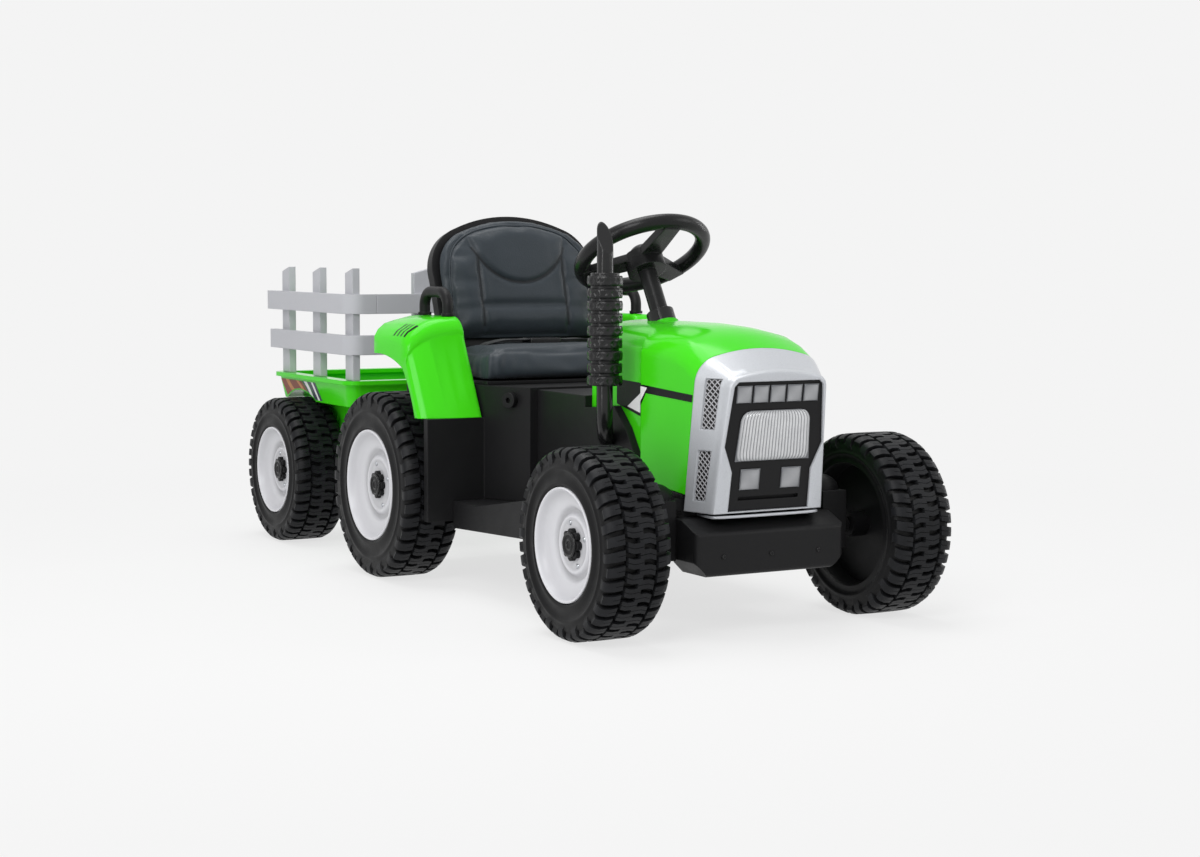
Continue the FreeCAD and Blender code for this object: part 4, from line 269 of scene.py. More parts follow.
def laid_on(target, points, axis, towards, frame_of=Matrix()):
    """Points carried along one axis, up or down it, until they meet the target's surface.

    The points and the axis are those of a frame, which is the world's own unless another is given.
    """
    mesh = bpy.data.meshes.new("laid")
    mesh.from_pydata(points.reshape(-1, 3).tolist(), [], [])
    probe = bpy.data.objects.new("laid", mesh)
    probe.matrix_world = frame_of
    bpy.context.scene.collection.objects.link(probe)
    wrap = probe.modifiers.new("laid", "SHRINKWRAP")
    wrap.target = target
    wrap.wrap_method = "PROJECT"
    wrap.use_project_x, wrap.use_project_y, wrap.use_project_z = (axis == way for way in "XYZ")
    wrap.use_positive_direction = towards > 0
    wrap.use_negative_direction = towards < 0
    bpy.context.view_layer.update()
    found = points_of(probe)
    bpy.data.objects.remove(probe)
    bpy.data.meshes.remove(mesh)
    return found.reshape(points.shape)


def quad_patch(corners, columns, rows):
    """Grid over four corners in a plane: a straight blend of the corners along both ways."""
    a, b, c, d = (np.array(corner) for corner in corners)
    s, t = np.linspace(0, 1, columns)[None, :, None], np.linspace(0, 1, rows)[:, None, None]
    return (a * (1 - s) + b * s) * (1 - t) + (d * (1 - s) + c * s) * t


def carried(path, profile, across):
    """Closed profile carried along a path: point + side * first + rise * second.

    side is across made square to the path's direction, and rise is square to both.
    """
    way = np.gradient(path, axis=0)
    way /= np.linalg.norm(way, axis=1, keepdims=True)
    side = across - way * np.sum(across * way, axis=1, keepdims=True)
    side /= np.linalg.norm(side, axis=1, keepdims=True)
    rise = np.cross(way, side)
    return (path[:, None, :] + side[:, None, :] * profile[None, :, :1]
            + rise[:, None, :] * profile[None, :, 1:])


def capped(name, grids):
    """Closed tubes from grids whose columns go round: each end row is drawn in to its middle."""
    ends = [np.concatenate([np.repeat(grid[:1].mean(axis=1, keepdims=True), grid.shape[1], axis=1), grid,
                            np.repeat(grid[-1:].mean(axis=1, keepdims=True), grid.shape[1], axis=1)])
            for grid in grids]
    return outward(grids_mesh(name, ends, around=True))


def smooth_path(path, times):
    """Each point of a line moved to the mean of itself and its two neighbours, several times."""
    for _ in range(times):
        path[1:-1] = (path[:-2] + 2 * path[1:-1] + path[2:]) / 4
    return path


def lean(degrees):
    """Axes of a frame that leans back by an angle: rows are its out, across and up."""
    c, s = math.cos(math.radians(degrees)), math.sin(math.radians(degrees))
    return np.array([[c, 0, s], [0, 1, 0], [-s, 0, c]])


def circle_profile(radius, corners):
    turn = np.linspace(0, 2 * math.pi, corners, endpoint=False)
    return np.stack([np.cos(turn), np.sin(turn)], axis=1) * radius


def revolved(profile, corners):
    """Closed profile of (radius, height) turned about the third axis, as rows round and columns along."""
    turn = np.linspace(0, 2 * math.pi, corners, endpoint=False)[:, None]
    radius, height = profile[None, :, 0], profile[None, :, 1]
    return np.stack([radius * np.cos(turn), radius * np.sin(turn), height + 0 * turn], axis=-1)


def screw_grid(radius):
    """Pan head: a low dome with a round recess, profile turned about its axis, base just below zero."""
    profile = np.array([(0.001, -0.12), (0.98, -0.12), (1.0, 0.10), (0.88, 0.40), (0.62, 0.56), (0.44, 0.60),
                        (0.40, 0.38), (0.20, 0.34), (0.001, 0.34)]) * radius
    return revolved(profile, 20)


# Materials


def add(tree, kind, *values, **named):
    """Add a node of a kind, or take one that is there, and fill it in.

    Plain values go to its live inputs in order. A name in lower case is a setting, and any other is an input,
    with _ for a space. A node as a value stands for its first live output.
    """
    item = tree.nodes.new("ShaderNode" + kind) if isinstance(kind, str) else kind
    for key in filter(str.islower, named):
        setattr(item, key, named[key])
    filled = list(zip((socket for socket in item.inputs if socket.enabled), values))
    filled += [(item.inputs[key.replace("_", " ")], named[key]) for key in named if not key.islower()]
    for socket, value in filled:
        if isinstance(value, bpy.types.Node):
            value = next(output for output in value.outputs if output.enabled)
        if isinstance(value, bpy.types.NodeSocket):
            tree.links.new(value, socket)
        else:
            socket.default_value = value
    return item


def new_finish(name, **constants):
    """A new material: the adder of its nodes, its shader with its even values, and the place on the piece."""
    material = bpy.data.materials.new(name)
    material.use_nodes = True
    node = partial(add, material.node_tree)
    shader = node(material.node_tree.nodes["Principled BSDF"], **constants)
    return node, shader, node("TexCoord").outputs["Object"]


def rgba(value, scale=1.0, lift=0.0):
    return (*(min(1.0, scale * c + lift) for c in value), 1.0)


def gloss_abs(name, bright, deep):
    """Gloss ABS, injection moulded: mirror-like skin with a faint 4 mm orange peel and even colour."""
    node, shader, place = new_finish(name, IOR=1.53, Specular_IOR_Level=0.14)
    flow = node("TexNoise", Vector=place, Scale=1 / 0.16)
    tone = node("Mix", flow, rgba(bright), rgba(deep), data_type="RGBA")
    haze = node("TexNoise", Vector=place, Scale=1 / 0.035)
    rough = node("MapRange", Value=haze, To_Min=0.10, To_Max=0.24)
    peel = node("TexNoise", Vector=place, Scale=1 / 0.004, Detail=1.0)
    edge = node("Bevel", samples=4, Radius=0.0020)
    bump = node("Bump", Height=peel, Strength=0.06, Distance=0.0006, Normal=edge)
    node(shader, Base_Color=tone, Roughness=rough, Normal=bump)


def silver_paint(name, base):
    """Silver lacquer sprayed on ABS: fine metal flakes in a satin film, drawn at 1.2 mm so that they show."""
    node, shader, place = new_finish(name, Metallic=0.3, Coat_Weight=0.15, Coat_Roughness=0.12)
    flakes = node("TexVoronoi", Vector=place, Scale=1 / 0.0012)
    tone = node("Mix", flakes, rgba(base), rgba(base, 0.84), data_type="RGBA")
    haze = node("TexNoise", Vector=place, Scale=1 / 0.03)
    rough = node("MapRange", Value=haze, To_Min=0.26, To_Max=0.40)
    edge = node("Bevel", samples=4, Radius=0.0024)
    bump = node("Bump", Height=flakes, Strength=0.03, Distance=0.0002, Normal=edge)
    node(shader, Base_Color=tone, Roughness=rough, Normal=bump)


def grained_pp(name, base, gloss, rough, grain, depth):
    """Polypropylene from a spark-eroded mould: satin, leathery grain, paler rubbed edges and painted shade in
    recesses.

    gloss is the specular level, rough the middle roughness, grain the grain's width and depth its height.
    """
    node, shader, place = new_finish(name, IOR=1.49, Specular_IOR_Level=gloss)
    edge = node("Bevel", samples=4, Radius=0.0022)
    turn = node("VectorMath", edge, node("NewGeometry").outputs["Normal"], operation="DOT_PRODUCT")
    rubbed = node("MapRange", Value=turn, From_Min=0.80, From_Max=0.99, To_Min=0.7, To_Max=0.0)
    worn = node("Mix", rubbed, rgba(base), rgba(base, 1.3, 0.006), data_type="RGBA")
    # Painted shade: where a piece carries a recess value, its colour is darkened towards 0.62 of the base.
    recess = node("Attribute", attribute_name="recess").outputs["Fac"]
    tone = node("Mix", recess, worn, rgba(base, 0.62), data_type="RGBA")
    haze = node("TexNoise", Vector=place, Scale=1 / 0.025)
    sheen = node("MapRange", Value=haze, To_Min=rough - 0.1, To_Max=rough + 0.1)
    hide = node("TexNoise", Vector=place, Scale=1 / grain)
    bump = node("Bump", Height=hide, Strength=0.35, Distance=depth, Normal=edge)
    node(shader, Base_Color=tone, Roughness=sheen, Normal=bump)


def tyre_skin(name, base, worn):
    """Blow-moulded tyre plastic: dull black, rubbed grey on the block tops, with a 1.5 mm pebble grain."""
    node, shader, place = new_finish(name, IOR=1.5, Specular_IOR_Level=0.14)
    tops = node("Attribute", attribute_name="block_top").outputs["Fac"]
    dust = node("TexNoise", Vector=place, Scale=1 / 0.02, Detail=4.0)
    wear = node("Math", tops, dust, operation="MULTIPLY")
    tone = node("Mix", wear, rgba(base), rgba(worn), data_type="RGBA")
    rough = node("MapRange", Value=dust, To_Min=0.32, To_Max=0.56)
    pebble = node("TexNoise", Vector=place, Scale=1 / 0.0015)
    bump = node("Bump", Height=pebble, Strength=0.30, Distance=0.0005)
    node(shader, Base_Color=tone, Roughness=rough, Normal=bump)


def lamp_plastic(name, pale, shade):
    """Silvered polycarbonate lens under a hard gloss face, with painted light on its ribs and painted shade
    in their valleys and at its rim.
    """
    node, shader, place = new_finish(name, IOR=1.58, Metallic=0.2, Roughness=0.14, Coat_Weight=0.3,
                                     Coat_Roughness=0.04)
    rib = node("Attribute", attribute_name="rib").outputs["Fac"]
    cloud = node("TexNoise", Vector=place, Scale=1 / 0.012)
    level = node("MapRange", Value=cloud, To_Min=0.75, To_Max=1.1)
    lit = node("Math", rib, level, operation="MULTIPLY")
    # Painted light and shade: the lit colour on the ribs, fading to the shade colour in the valleys, at the
    # rim, and on pieces without the value.
    tone = node("Mix", lit, rgba(shade), rgba(pale), data_type="RGBA")
    bump = node("Bump", Height=cloud, Strength=0.05, Distance=0.0004)
    node(shader, Base_Color=tone, Normal=bump)


def leatherette(name, base):
    """PVC leatherette: blue-black, low sheen, with a 2 mm pebble grain, soft creases and painted shade along
    its seams.
    """
    node, shader, place = new_finish(name, IOR=1.5, Specular_IOR_Level=0.26, Sheen_Weight=0.05,
                                     Sheen_Roughness=0.5)
    pebble = node("TexVoronoi", feature="SMOOTH_F1", Vector=place, Scale=1 / 0.0021, Smoothness=0.6)
    cloud = node("TexNoise", Vector=place, Scale=1 / 0.06, Detail=4.0)
    hide = node("Mix", cloud, rgba(base, 0.85), rgba(base, 1.2, 0.002), data_type="RGBA")
    seam = node("Attribute", attribute_name="seam").outputs["Fac"]
    # Painted shade: near black along the seams, where the seam value is high.
    tone = node("Mix", seam, hide, rgba(base, 0.15), data_type="RGBA")
    rough = node("MapRange", Value=pebble, From_Max=0.7, To_Min=0.34, To_Max=0.52)
    grain = node("Bump", Height=pebble, Strength=0.22, Distance=0.0005)
    crease = node("Bump", Height=cloud, Strength=0.10, Distance=0.003, Normal=grain)
    node(shader, Base_Color=tone, Roughness=rough, Normal=crease)


def webbing(name, base):
    """Woven nylon webbing: fine ribs, drawn at 1.6 mm so that they show, and a dry fibre sheen."""
    node, shader, place = new_finish(name, Roughness=0.75, Specular_IOR_Level=0.2, Sheen_Weight=0.15,
                                     Sheen_Roughness=0.4)
    ribs = node("TexWave", bands_direction="DIAGONAL", Vector=place, Scale=0.314 / 0.0016, Distortion=0.4,
                Detail=1.0).outputs["Fac"]
    tone = node("Mix", ribs, rgba(base), rgba(base, 1.8, 0.004), data_type="RGBA")
    bump = node("Bump", Height=ribs, Strength=0.4, Distance=0.0005)
    node(shader, Base_Color=tone, Normal=bump)


def zinc_steel(name, base):
    """Zinc-plated steel: clear grey metal with a slightly clouded plating."""
    node, shader, place = new_finish(name, Metallic=1.0)
    cloud = node("TexNoise", Vector=place, Scale=1 / 0.008, Detail=3.0)
    tone = node("Mix", cloud, rgba(base, 0.8), rgba(base), data_type="RGBA")
    rough = node("MapRange", Value=cloud, To_Min=0.24, To_Max=0.44)
    node(shader, Base_Color=tone, Roughness=rough, Normal=node("Bevel", samples=4, Radius=0.0008))


def stripe_film(name, base):
    """Printed vinyl film: even colour under a gloss face, slightly clouded where it is stretched."""
    node, shader, place = new_finish(name, IOR=1.5, Specular_IOR_Level=0.10)
    cloud = node("TexNoise", Vector=place, Scale=1 / 0.03)
    tone = node("Mix", cloud, rgba(base), rgba(base, 0.9, 0.002), data_type="RGBA")
    node(shader, Base_Color=tone, Roughness=node("MapRange", Value=cloud, To_Min=0.22, To_Max=0.36))


def vent_wire(name, base):
    """Moulded wire mesh: grey paint on the wires, which are rubbed pale, and painted shade, near black, in
    the openings, which stands for the dark space behind them.
    """
    node, shader, place = new_finish(name, Metallic=0.2, Roughness=0.4, Specular_IOR_Level=0.3)
    wire = node("Attribute", attribute_name="wire").outputs["Fac"]
    rubbed = node("TexNoise", Vector=place, Scale=1 / 0.01)
    lit = node("MapRange", Value=wire, From_Min=0.2, From_Max=0.7)
    level = node("MapRange", Value=rubbed, To_Min=0.7, To_Max=1.2)
    share = node("Math", lit, level, operation="MULTIPLY")
    # Painted shade: the openings between the wires are near black.
    node(shader, Base_Color=node("Mix", share, rgba(base, 0.02), rgba(base), data_type="RGBA"))


def finishes(colours):
    """Every finish by name, made once from the chosen colours."""
    if "gloss_abs_green" in bpy.data.materials:
        return bpy.data.materials
    gloss_abs("gloss_abs_green", colours.body, colours.body_deep)
    silver_paint("silver_lacquer", colours.trim)
    grained_pp("grained_pp_black", colours.moulding, 0.16, 0.44, 0.0011, 0.0004)
    grained_pp("satin_pp_black", colours.moulding, 0.22, 0.28, 0.0016, 0.0002)
    grained_pp("gloss_pp_black", colours.moulding, 0.34, 0.18, 0.0080, 0.0001)
    tyre_skin("tyre_plastic_black", colours.tread, colours.tread_worn)
    grained_pp("satin_pp_white", colours.wheel, 0.40, 0.34, 0.0030, 0.0002)
    grained_pp("grained_pp_grey", colours.fence, 0.35, 0.46, 0.0012, 0.0003)
    grained_pp("satin_pp_red", colours.warning, 0.40, 0.30, 0.0030, 0.0002)
    lamp_plastic("lamp_lens_silvered", colours.lens, colours.lens_painted_shade)
    leatherette("pvc_leatherette", colours.seat)
    webbing("nylon_webbing", colours.strap)
    zinc_steel("zinc_plated_steel", colours.zinc)
    for shade in ("black", "white", "rust", "amber", "slate"):
        stripe_film("vinyl_film_" + shade, getattr(colours, "film_" + shade))
    vent_wire("vent_mesh_grey", colours.mesh)
    return bpy.data.materials


FINISH_OF_SLOT = {
    "green_plastic": "gloss_abs_green", "silver_plastic": "silver_lacquer",
    "black_plastic": "grained_pp_black", "tyre_plastic": "tyre_plastic_black",
    "white_plastic": "satin_pp_white", "grey_plastic": "grained_pp_grey",
    "clear_plastic": "lamp_lens_silvered", "red_plastic": "satin_pp_red",
    "leatherette": "pvc_leatherette", "webbing": "nylon_webbing", "steel": "zinc_plated_steel"}
OWN_FINISH = {"steering_wheel": "satin_pp_black", "horn_button": "satin_pp_black",
              "belt_buckle": "satin_pp_black", "steering_collar": "gloss_pp_black",
              "exhaust_stack": "gloss_pp_black"}
# Least turn between two faces that stays a hard edge: on a solid, and on a tread.
HARD_EDGE, TREAD_EDGE = math.radians(28), math.radians(40)


def finish_named(name):
    return finishes(bpy.context.scene.tractor_colours)[name]


class TRACTOR_OT_dress_solids(Step, bpy.types.Operator):
    """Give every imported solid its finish, and shade its round faces smooth up to its hard edges"""
    bl_idname = "tractor.dress_solids"
    bl_label = "Dress the solids"

    def build(self, context, sizes):
        for name, item in frame["nodes"].items():
            item.data.materials.clear()
            item.data.materials.append(finish_named(OWN_FINISH.get(name, FINISH_OF_SLOT[SLOT_OF[name]])))
            shade_smooth(item.data)
            item.modifiers.new("weld", "WELD").merge_threshold = MERGE
            item.modifiers.new("hard_edges", "EDGE_SPLIT").split_angle = HARD_EDGE


# Wheels

# Smooth outer wall of a tyre: radius as a share of the tyre's, and depth below its side plane in mm.
WALL = np.array([(0.602, 5.0), (0.606, 1.6), (0.622, 0.3), (0.645, 0.5), (0.680, 2.2), (0.720, 3.0),
                 (0.752, 2.4), (0.772, 0.8), (0.782, 0.3), (0.797, 0.3), (0.806, 1.1), (0.835, 1.6)])
# Shoulder in mm below the tread's radius and below the side plane: between the blocks, and on a block.
SHOULDER_FOOT = np.array([(16.0, 1.6), (13.0, 2.8), (10.2, 5.0), (8.0, 9.0), (7.0, 13.0)])
SHOULDER_TOP = np.array([(16.0, 0.2), (12.0, 0.2), (7.0, 0.9), (3.4, 4.0), (0.4, 11.0)])
# A short shoulder block stops this far below the tread's radius, and the tread falls so far to its edge.
SHORT_BLOCK, TREAD_FALL = 12.5 * MM, 0.8 * MM
# Samples across the tread as shares of half its width, and round one pitch as shares of the pitch.
TREAD_SHARES = np.array([0.60, 0.52, 0.475, 0.43, 0.36, 0.26, 0.16, 0.11, 0.06, 0.0])
TREAD_SHARES = np.concatenate([TREAD_SHARES, -TREAD_SHARES[-2::-1]])
HALF_PITCH = np.array([0.02, 0.08, 0.14, 0.18, 0.25, 0.32, 0.36, 0.48])
PITCH_SHARES = np.concatenate([-HALF_PITCH[::-1], [0.0], HALF_PITCH, [0.5]])
# Rows of blocks: middle of a block in pitches, half its length, and its borders across the tread.
BLOCK_ROWS = ((0.0, 0.34, (0.475, 0.52, 2.0, 2.1)), (0.5, 0.34, (-0.11, -0.06, 0.43, 0.475)),
              (0.0, 0.34, (-0.475, -0.43, 0.06, 0.11)), (0.5, 0.34, (-2.1, -2.0, -0.52, -0.475)))
# Half the ramp at a block's end and half its groove's width in pitches, and the groove's depth and reach as
# shares of the block's height and of half the tread's width.
RAMP, GROOVE_DEPTH, GROOVE_REACH = 0.02, 0.3, 0.64
# Zigzag of the blocks: place across the tread, and how far the pattern is carried along in pitches.
SHEAR = np.array([(-1, -0.24), (-0.72, -0.02), (-0.475, 0.10), (-0.24, -0.08), (0, 0), (0.24, 0.08),
                  (0.475, -0.10), (0.72, 0.02), (1, 0.24)])


def tyre_grid(radius, half, lugs, depth):
    """Tyre as angle by profile: point = foot profile + block mask * (block profile - foot profile).

    The mask is the largest of four rows of blocks, each a ramp along the tread times a ramp across it. The
    rows are sheared in a zigzag, so that the blocks lock together, and every other shoulder block is short.
    """
    side = np.array([1.0, -1.0])
    wall = np.stack([WALL[:, 0] * radius, half - WALL[:, 1] * MM], axis=1)
    foot, top = (np.array([radius, half]) - shoulder * MM for shoulder in (SHOULDER_FOOT, SHOULDER_TOP))
    crown = radius - TREAD_FALL * TREAD_SHARES ** 2
    tread_foot, tread_top = (np.stack([height, TREAD_SHARES * half], axis=1)
                             for height in (crown - depth, crown))
    mouth, web, boss, bore = 0.66 * radius, 30 * MM - half, 17 * MM, 6.3 * MM
    back, face, disc = 3 * MM - half, half - 26 * MM, web + 5 * MM
    hollow = np.array([(mouth, 6 * MM - half), (mouth - MM, web), (30 * MM, web - MM), (boss, web - MM),
                       (boss, back), (bore, back), (bore, face), (boss, face), (boss, disc),
                       (0.601 * radius, disc)])
    inner_wall = (wall * side)[::-1]
    inner_wall = inner_wall[inner_wall[:, 0] > mouth + 2 * MM]
    base = np.concatenate([wall, foot, tread_foot, (foot * side)[::-1], inner_wall, hollow])
    block = np.concatenate([wall, top, tread_top, (top * side)[::-1], inner_wall, hollow])
    place = np.clip(base[:, 1] / half, -1, 1)
    first, last = len(wall), len(wall) + 2 * len(foot) + len(tread_foot)
    on_tread = (np.arange(len(base)) >= first) & (np.arange(len(base)) < last)
    pitch, lug = np.tile(PITCH_SHARES, lugs), np.repeat(np.arange(lugs), len(PITCH_SHARES))
    high_up = (base[:, 0] > radius - SHORT_BLOCK) | (np.abs(place) < 0.5)
    mask = np.zeros((len(pitch), len(base)))
    for middle, reach, borders in BLOCK_ROWS:
        off = np.abs((pitch - middle + 0.5) % 1.0 - 0.5)
        along = np.interp(off, [reach - RAMP, reach + RAMP], [1, 0])
        across = np.interp(place, borders, [0, 1, 1, 0])
        groove = 1 - GROOVE_DEPTH * np.outer(off < RAMP, np.abs(place) < GROOVE_REACH)
        groove = groove * np.where(np.floor(lug + pitch - middle + 0.5)[:, None] % 2 == 0, 1.0, high_up)
        mask = np.maximum(mask, np.outer(along, across) * groove)
    mask = mask * on_tread
    profile = base[None] + mask[..., None] * (block - base)[None]
    shear = np.interp(place, SHEAR[:, 0], SHEAR[:, 1]) * on_tread
    turn = (lug[:, None] + pitch[:, None] + shear[None]) / lugs * 2 * math.pi
    return np.stack([profile[..., 0] * np.sin(turn), profile[..., 1], profile[..., 0] * np.cos(turn)],
                    axis=-1), mask


class TRACTOR_OT_tyres(Step, bpy.types.Operator):
    """Build the six tyres with their four rows of locked tread blocks"""
    bl_idname = "tractor.tyres"
    bl_label = "Tyres"

    def build(self, context, sizes):
        for axle, hand, sign in WHEELS:
            node = f"{axle}_tyre_{hand}"
            low, high = box_of(node)
            _, half, radius = (high - low) / 2
            points, mask = tyre_grid(radius, half, sizes.lug_count, sizes.tread_depth)
            points = points * np.array([1, sign, 1]) + (low + high) / 2
            mesh = rings(f"{axle}_tread_{hand}", [points], "block_top", mask)
            mesh.set_sharp_from_angle(angle=TREAD_EDGE)
            add_piece(mesh, "tyre_plastic_black", f"{axle}_wheel_{hand}", [node])


# Profile of a rim, from its lip to its bore and back behind: share of the edge radius, depth in mm, and
# painted shade, darkest in the ring groove and the bowl.
RIM_PROFILE = np.array([(1.0, 7.5, 0), (1.0, 1.0, 0), (0.99, 0.2, 0), (0.965, 0.2, 0), (0.950, 1.4, 0.1),
                        (0.935, 4.6, 0.3), (0.905, 9.4, 0.4), (0.86, 12.6, 0.35), (0.80, 14.2, 0.25),
                        (0.73, 15.0, 0.15), (0.675, 15.8, 0.2), (0.645, 18.0, 0.5), (0.620, 20.2, 0.9),
                        (0.585, 21.0, 1.0), (0.550, 20.4, 0.8), (0.525, 18.2, 0.4), (0.505, 16.4, 0.1),
                        (0.475, 15.8, 0), (0.450, 16.6, 0.3), (0.430, 17.9, 0.6), (0.36, 18.1, 0.4),
                        (0.20, 18.3, 0.6), (0.09, 18.4, 0.8), (0.09, 25.4, 0), (0.45, 25.4, 0),
                        (0.62, 25.2, 0), (0.84, 19.5, 0), (0.97, 12.0, 0)])
RIM_CORNERS, HUB_CORNERS = 96, 64
# Screws of a rim: their turns, their share of the edge radius and their depth.
RIM_SCREWS, SCREW_SHARE, SCREW_DEPTH = np.radians([20, 110, 200, 290]), 0.385, 18.2 * MM
# Raised rings on the face of a hub cap: share of its radius, and height in mm.
HUB_RINGS = np.array([(0.02, -0.4), (0.24, -0.4), (0.26, 0.9), (0.32, 1.2), (0.36, 0.8), (0.39, -0.2),
                      (0.60, -0.2), (0.63, 1.0), (0.70, 1.3), (0.76, 0.8), (0.79, -0.4), (0.79, -0.9),
                      (0.02, -0.9)])


class TRACTOR_OT_rims(Step, bpy.types.Operator):
    """Build the six dished rims, the screws on their plates and the rings of their hub caps"""
    bl_idname = "tractor.rims"
    bl_label = "Rims"

    def build(self, context, sizes):
        screw = screw_grid(sizes.screw_radius)
        for axle, hand, sign in WHEELS:
            body = f"{axle}_wheel_{hand}"
            centre, edge = self.outer_face(f"{axle}_rim_{hand}", sign)
            grid = revolved(RIM_PROFILE[:, :2] * np.array([edge, -MM]), RIM_CORNERS)
            # Each point carries the profile's painted shade as its recess value, which darkens the white in
            # the bowl and the groove.
            mesh = rings(f"{axle}_dish_{hand}", [self.turned_out(grid, sign) + centre], "recess",
                         np.tile(RIM_PROFILE[:, 2], RIM_CORNERS))
            dish = add_piece(mesh, "satin_pp_white", body, [f"{axle}_rim_{hand}"])
            divide(dish)
            seats = [(SCREW_SHARE * edge * math.cos(a), -sign * SCREW_DEPTH, SCREW_SHARE * edge * math.sin(a))
                     for a in RIM_SCREWS]
            heads = [self.turned_out(screw, sign) + centre + np.array(seat) for seat in seats]
            add_piece(rings(f"{axle}_rim_screws_{hand}", heads), "zinc_plated_steel", body)
            cap, radius = self.outer_face(f"{axle}_hub_cap_{hand}", sign)
            centre[1] = cap[1]
            grid = revolved(HUB_RINGS * np.array([radius, MM]), HUB_CORNERS)
            mesh = rings(f"{axle}_hub_rings_{hand}", [self.turned_out(grid, sign) + centre])
            add_piece(mesh, "gloss_pp_black", body)

    def outer_face(self, node, sign):
        """Middle of a wheel piece's outer face, and its radius."""
        low, high = box_of(node)
        centre = (low + high) / 2
        centre[1] = high[1] if sign > 0 else low[1]
        return centre, (high[2] - low[2]) / 2

    def turned_out(self, grid, sign):
        """Turned grid laid over so that its axis points out of the wheel."""
        return grid[..., [0, 2, 1]] * np.array([1, sign, 1])


# Seat

BACK_FOOT = np.array([REAR_X + 12 * MM, 0.0, 302.3 * MM])
BACK_AXES = lean(15)
# Seams of the seat back: half width and rise of the border's arch over its shoulder, half width and drop of
# the head seam below its top, distance of the upright seams from the middle, reach of the outer channels, and
# foot of the border.
ARCH_HALF, ARCH_RISE, SHOULDER = 118 * MM, 78 * MM, 145 * MM
HEAD_HALF, HEAD_DROP, HEAD_TOP = 86 * MM, 92 * MM, 224 * MM
UPRIGHT_SEAM, WING_HALF, BORDER_FOOT = 72 * MM, 116 * MM, 52 * MM
# Channels between the upright seams, then outside them: depth and width against a seam's, and heights in mm.
CHANNELS = ((1.2, 1.7, (97, 49)), (0.55, 2, (176, 134, 92, 50)))
# Puckers along the upright seams: height, spacing and reach.
PUCKER, PUCKER_STEP, PUCKER_REACH = 0.20 * MM, 4.2 * MM, 9 * MM
# Fullness of the head: height, half width, middle and half rise.
FULL, FULL_HALF, FULL_MIDDLE, FULL_RISE = 3.0 * MM, 70 * MM, 186 * MM, 45 * MM
# A pad is drawn in by this share of its swell, and then blown up with this pressure for so many frames.
DRAWN_IN, PRESSURE, SWELL_FRAMES = 0.35, 4.0, 20


def swollen_pad(context, node, name, held):
    """Copy of a pad's solid, drawn in, meshed in even cells and blown up by cloth pressure.

    held takes points and gives a mask of those that rest on something and stay where they are.
    """
    sizes = context.scene.tractor_sizes
    mesh = frame["nodes"][node].data.copy()
    mesh.name = name
    mesh.materials.clear()
    piece = add_piece(outward(mesh), "pvc_leatherette", "chassis", [node])
    remesh = piece.modifiers.new("even", "REMESH")
    remesh.mode, remesh.voxel_size = "VOXEL", sizes.voxel
    even = baked(piece)
    shade_smooth(even)
    start = points_of(piece) - normals_of(even) * sizes.swell * DRAWN_IN
    set_points(even, start)
    pin = piece.vertex_groups.new(name="held")
    pin.add(np.flatnonzero(held(start)).tolist(), 1.0, "REPLACE")
    cloth = piece.modifiers.new("swell", "CLOTH")
    cloth.settings.use_pressure = True
    cloth.settings.uniform_pressure_force = PRESSURE
    cloth.settings.effector_weights.gravity = 0.0
    cloth.settings.vertex_group_mass = "held"
    cloth.point_cache.frame_start, cloth.point_cache.frame_end = 1, SWELL_FRAMES
    for step in range(1, SWELL_FRAMES + 1):
        context.scene.frame_set(step)
    moved = points_of(piece) - start
    piece.modifiers.clear()
    context.scene.frame_set(1)
    reach = np.linalg.norm(moved, axis=1, keepdims=True)
    set_points(even, start + moved * np.minimum(1.0, sizes.swell / np.maximum(reach, 1e-9)))
    return piece


def baked(piece):
    """Mesh of a piece with its modifiers, put back as plain faces."""
    mesh = bpy.data.meshes.new_from_object(piece.evaluated_get(bpy.context.evaluated_depsgraph_get()))
    piece.modifiers.clear()
    piece.data = mesh
    return mesh


def pressed(piece, dip):
    """Even out a pad, divide it once, and move its points along their normals by dip(points, normals)."""
    even = piece.modifiers.new("even_out", "SMOOTH")
    even.factor, even.iterations = 0.5, 10
    divide(piece)
    mesh = baked(piece)
    points, normals = points_of(piece), normals_of(mesh).astype(float)
    set_points(mesh, points + normals * dip(points, normals)[:, None])


def in_back(points):
    """Seat back's own frame: first out of its front, second across it, third up its lean."""
    return (points - BACK_FOOT) @ BACK_AXES.T


def bell(distance, width):
    """Smooth bump of height 1 that falls off as exp(-(distance / width)^2)."""
    return np.exp(-(distance / width) ** 2)


def border_gap(across, up):
    """Distance from the sewn border: upright sides below the shoulder, a rounded arch above it.

    The arch is |across / a|^2.5 + |up / b|^2.5 = 1, and its distance is value / slope.
    """
    x, z = np.abs(across) / ARCH_HALF, np.maximum(up - SHOULDER, 0) / ARCH_RISE
    value = x ** 2.5 + z ** 2.5 - 1
    slope = 2.5 * np.sqrt((x ** 1.5 / ARCH_HALF) ** 2 + (z ** 1.5 / ARCH_RISE) ** 2)
    side = np.abs(np.abs(across) - ARCH_HALF)
    return np.where(up < SHOULDER, side, np.abs(value) / np.maximum(slope, 1e-6))


def head_value(across, up):
    """Ellipse of the head seam, (across / a)^2 + (up / b)^2 - 1, which is negative in the head panel."""
    return (across / HEAD_HALF) ** 2 + ((up - HEAD_TOP) / HEAD_DROP) ** 2 - 1


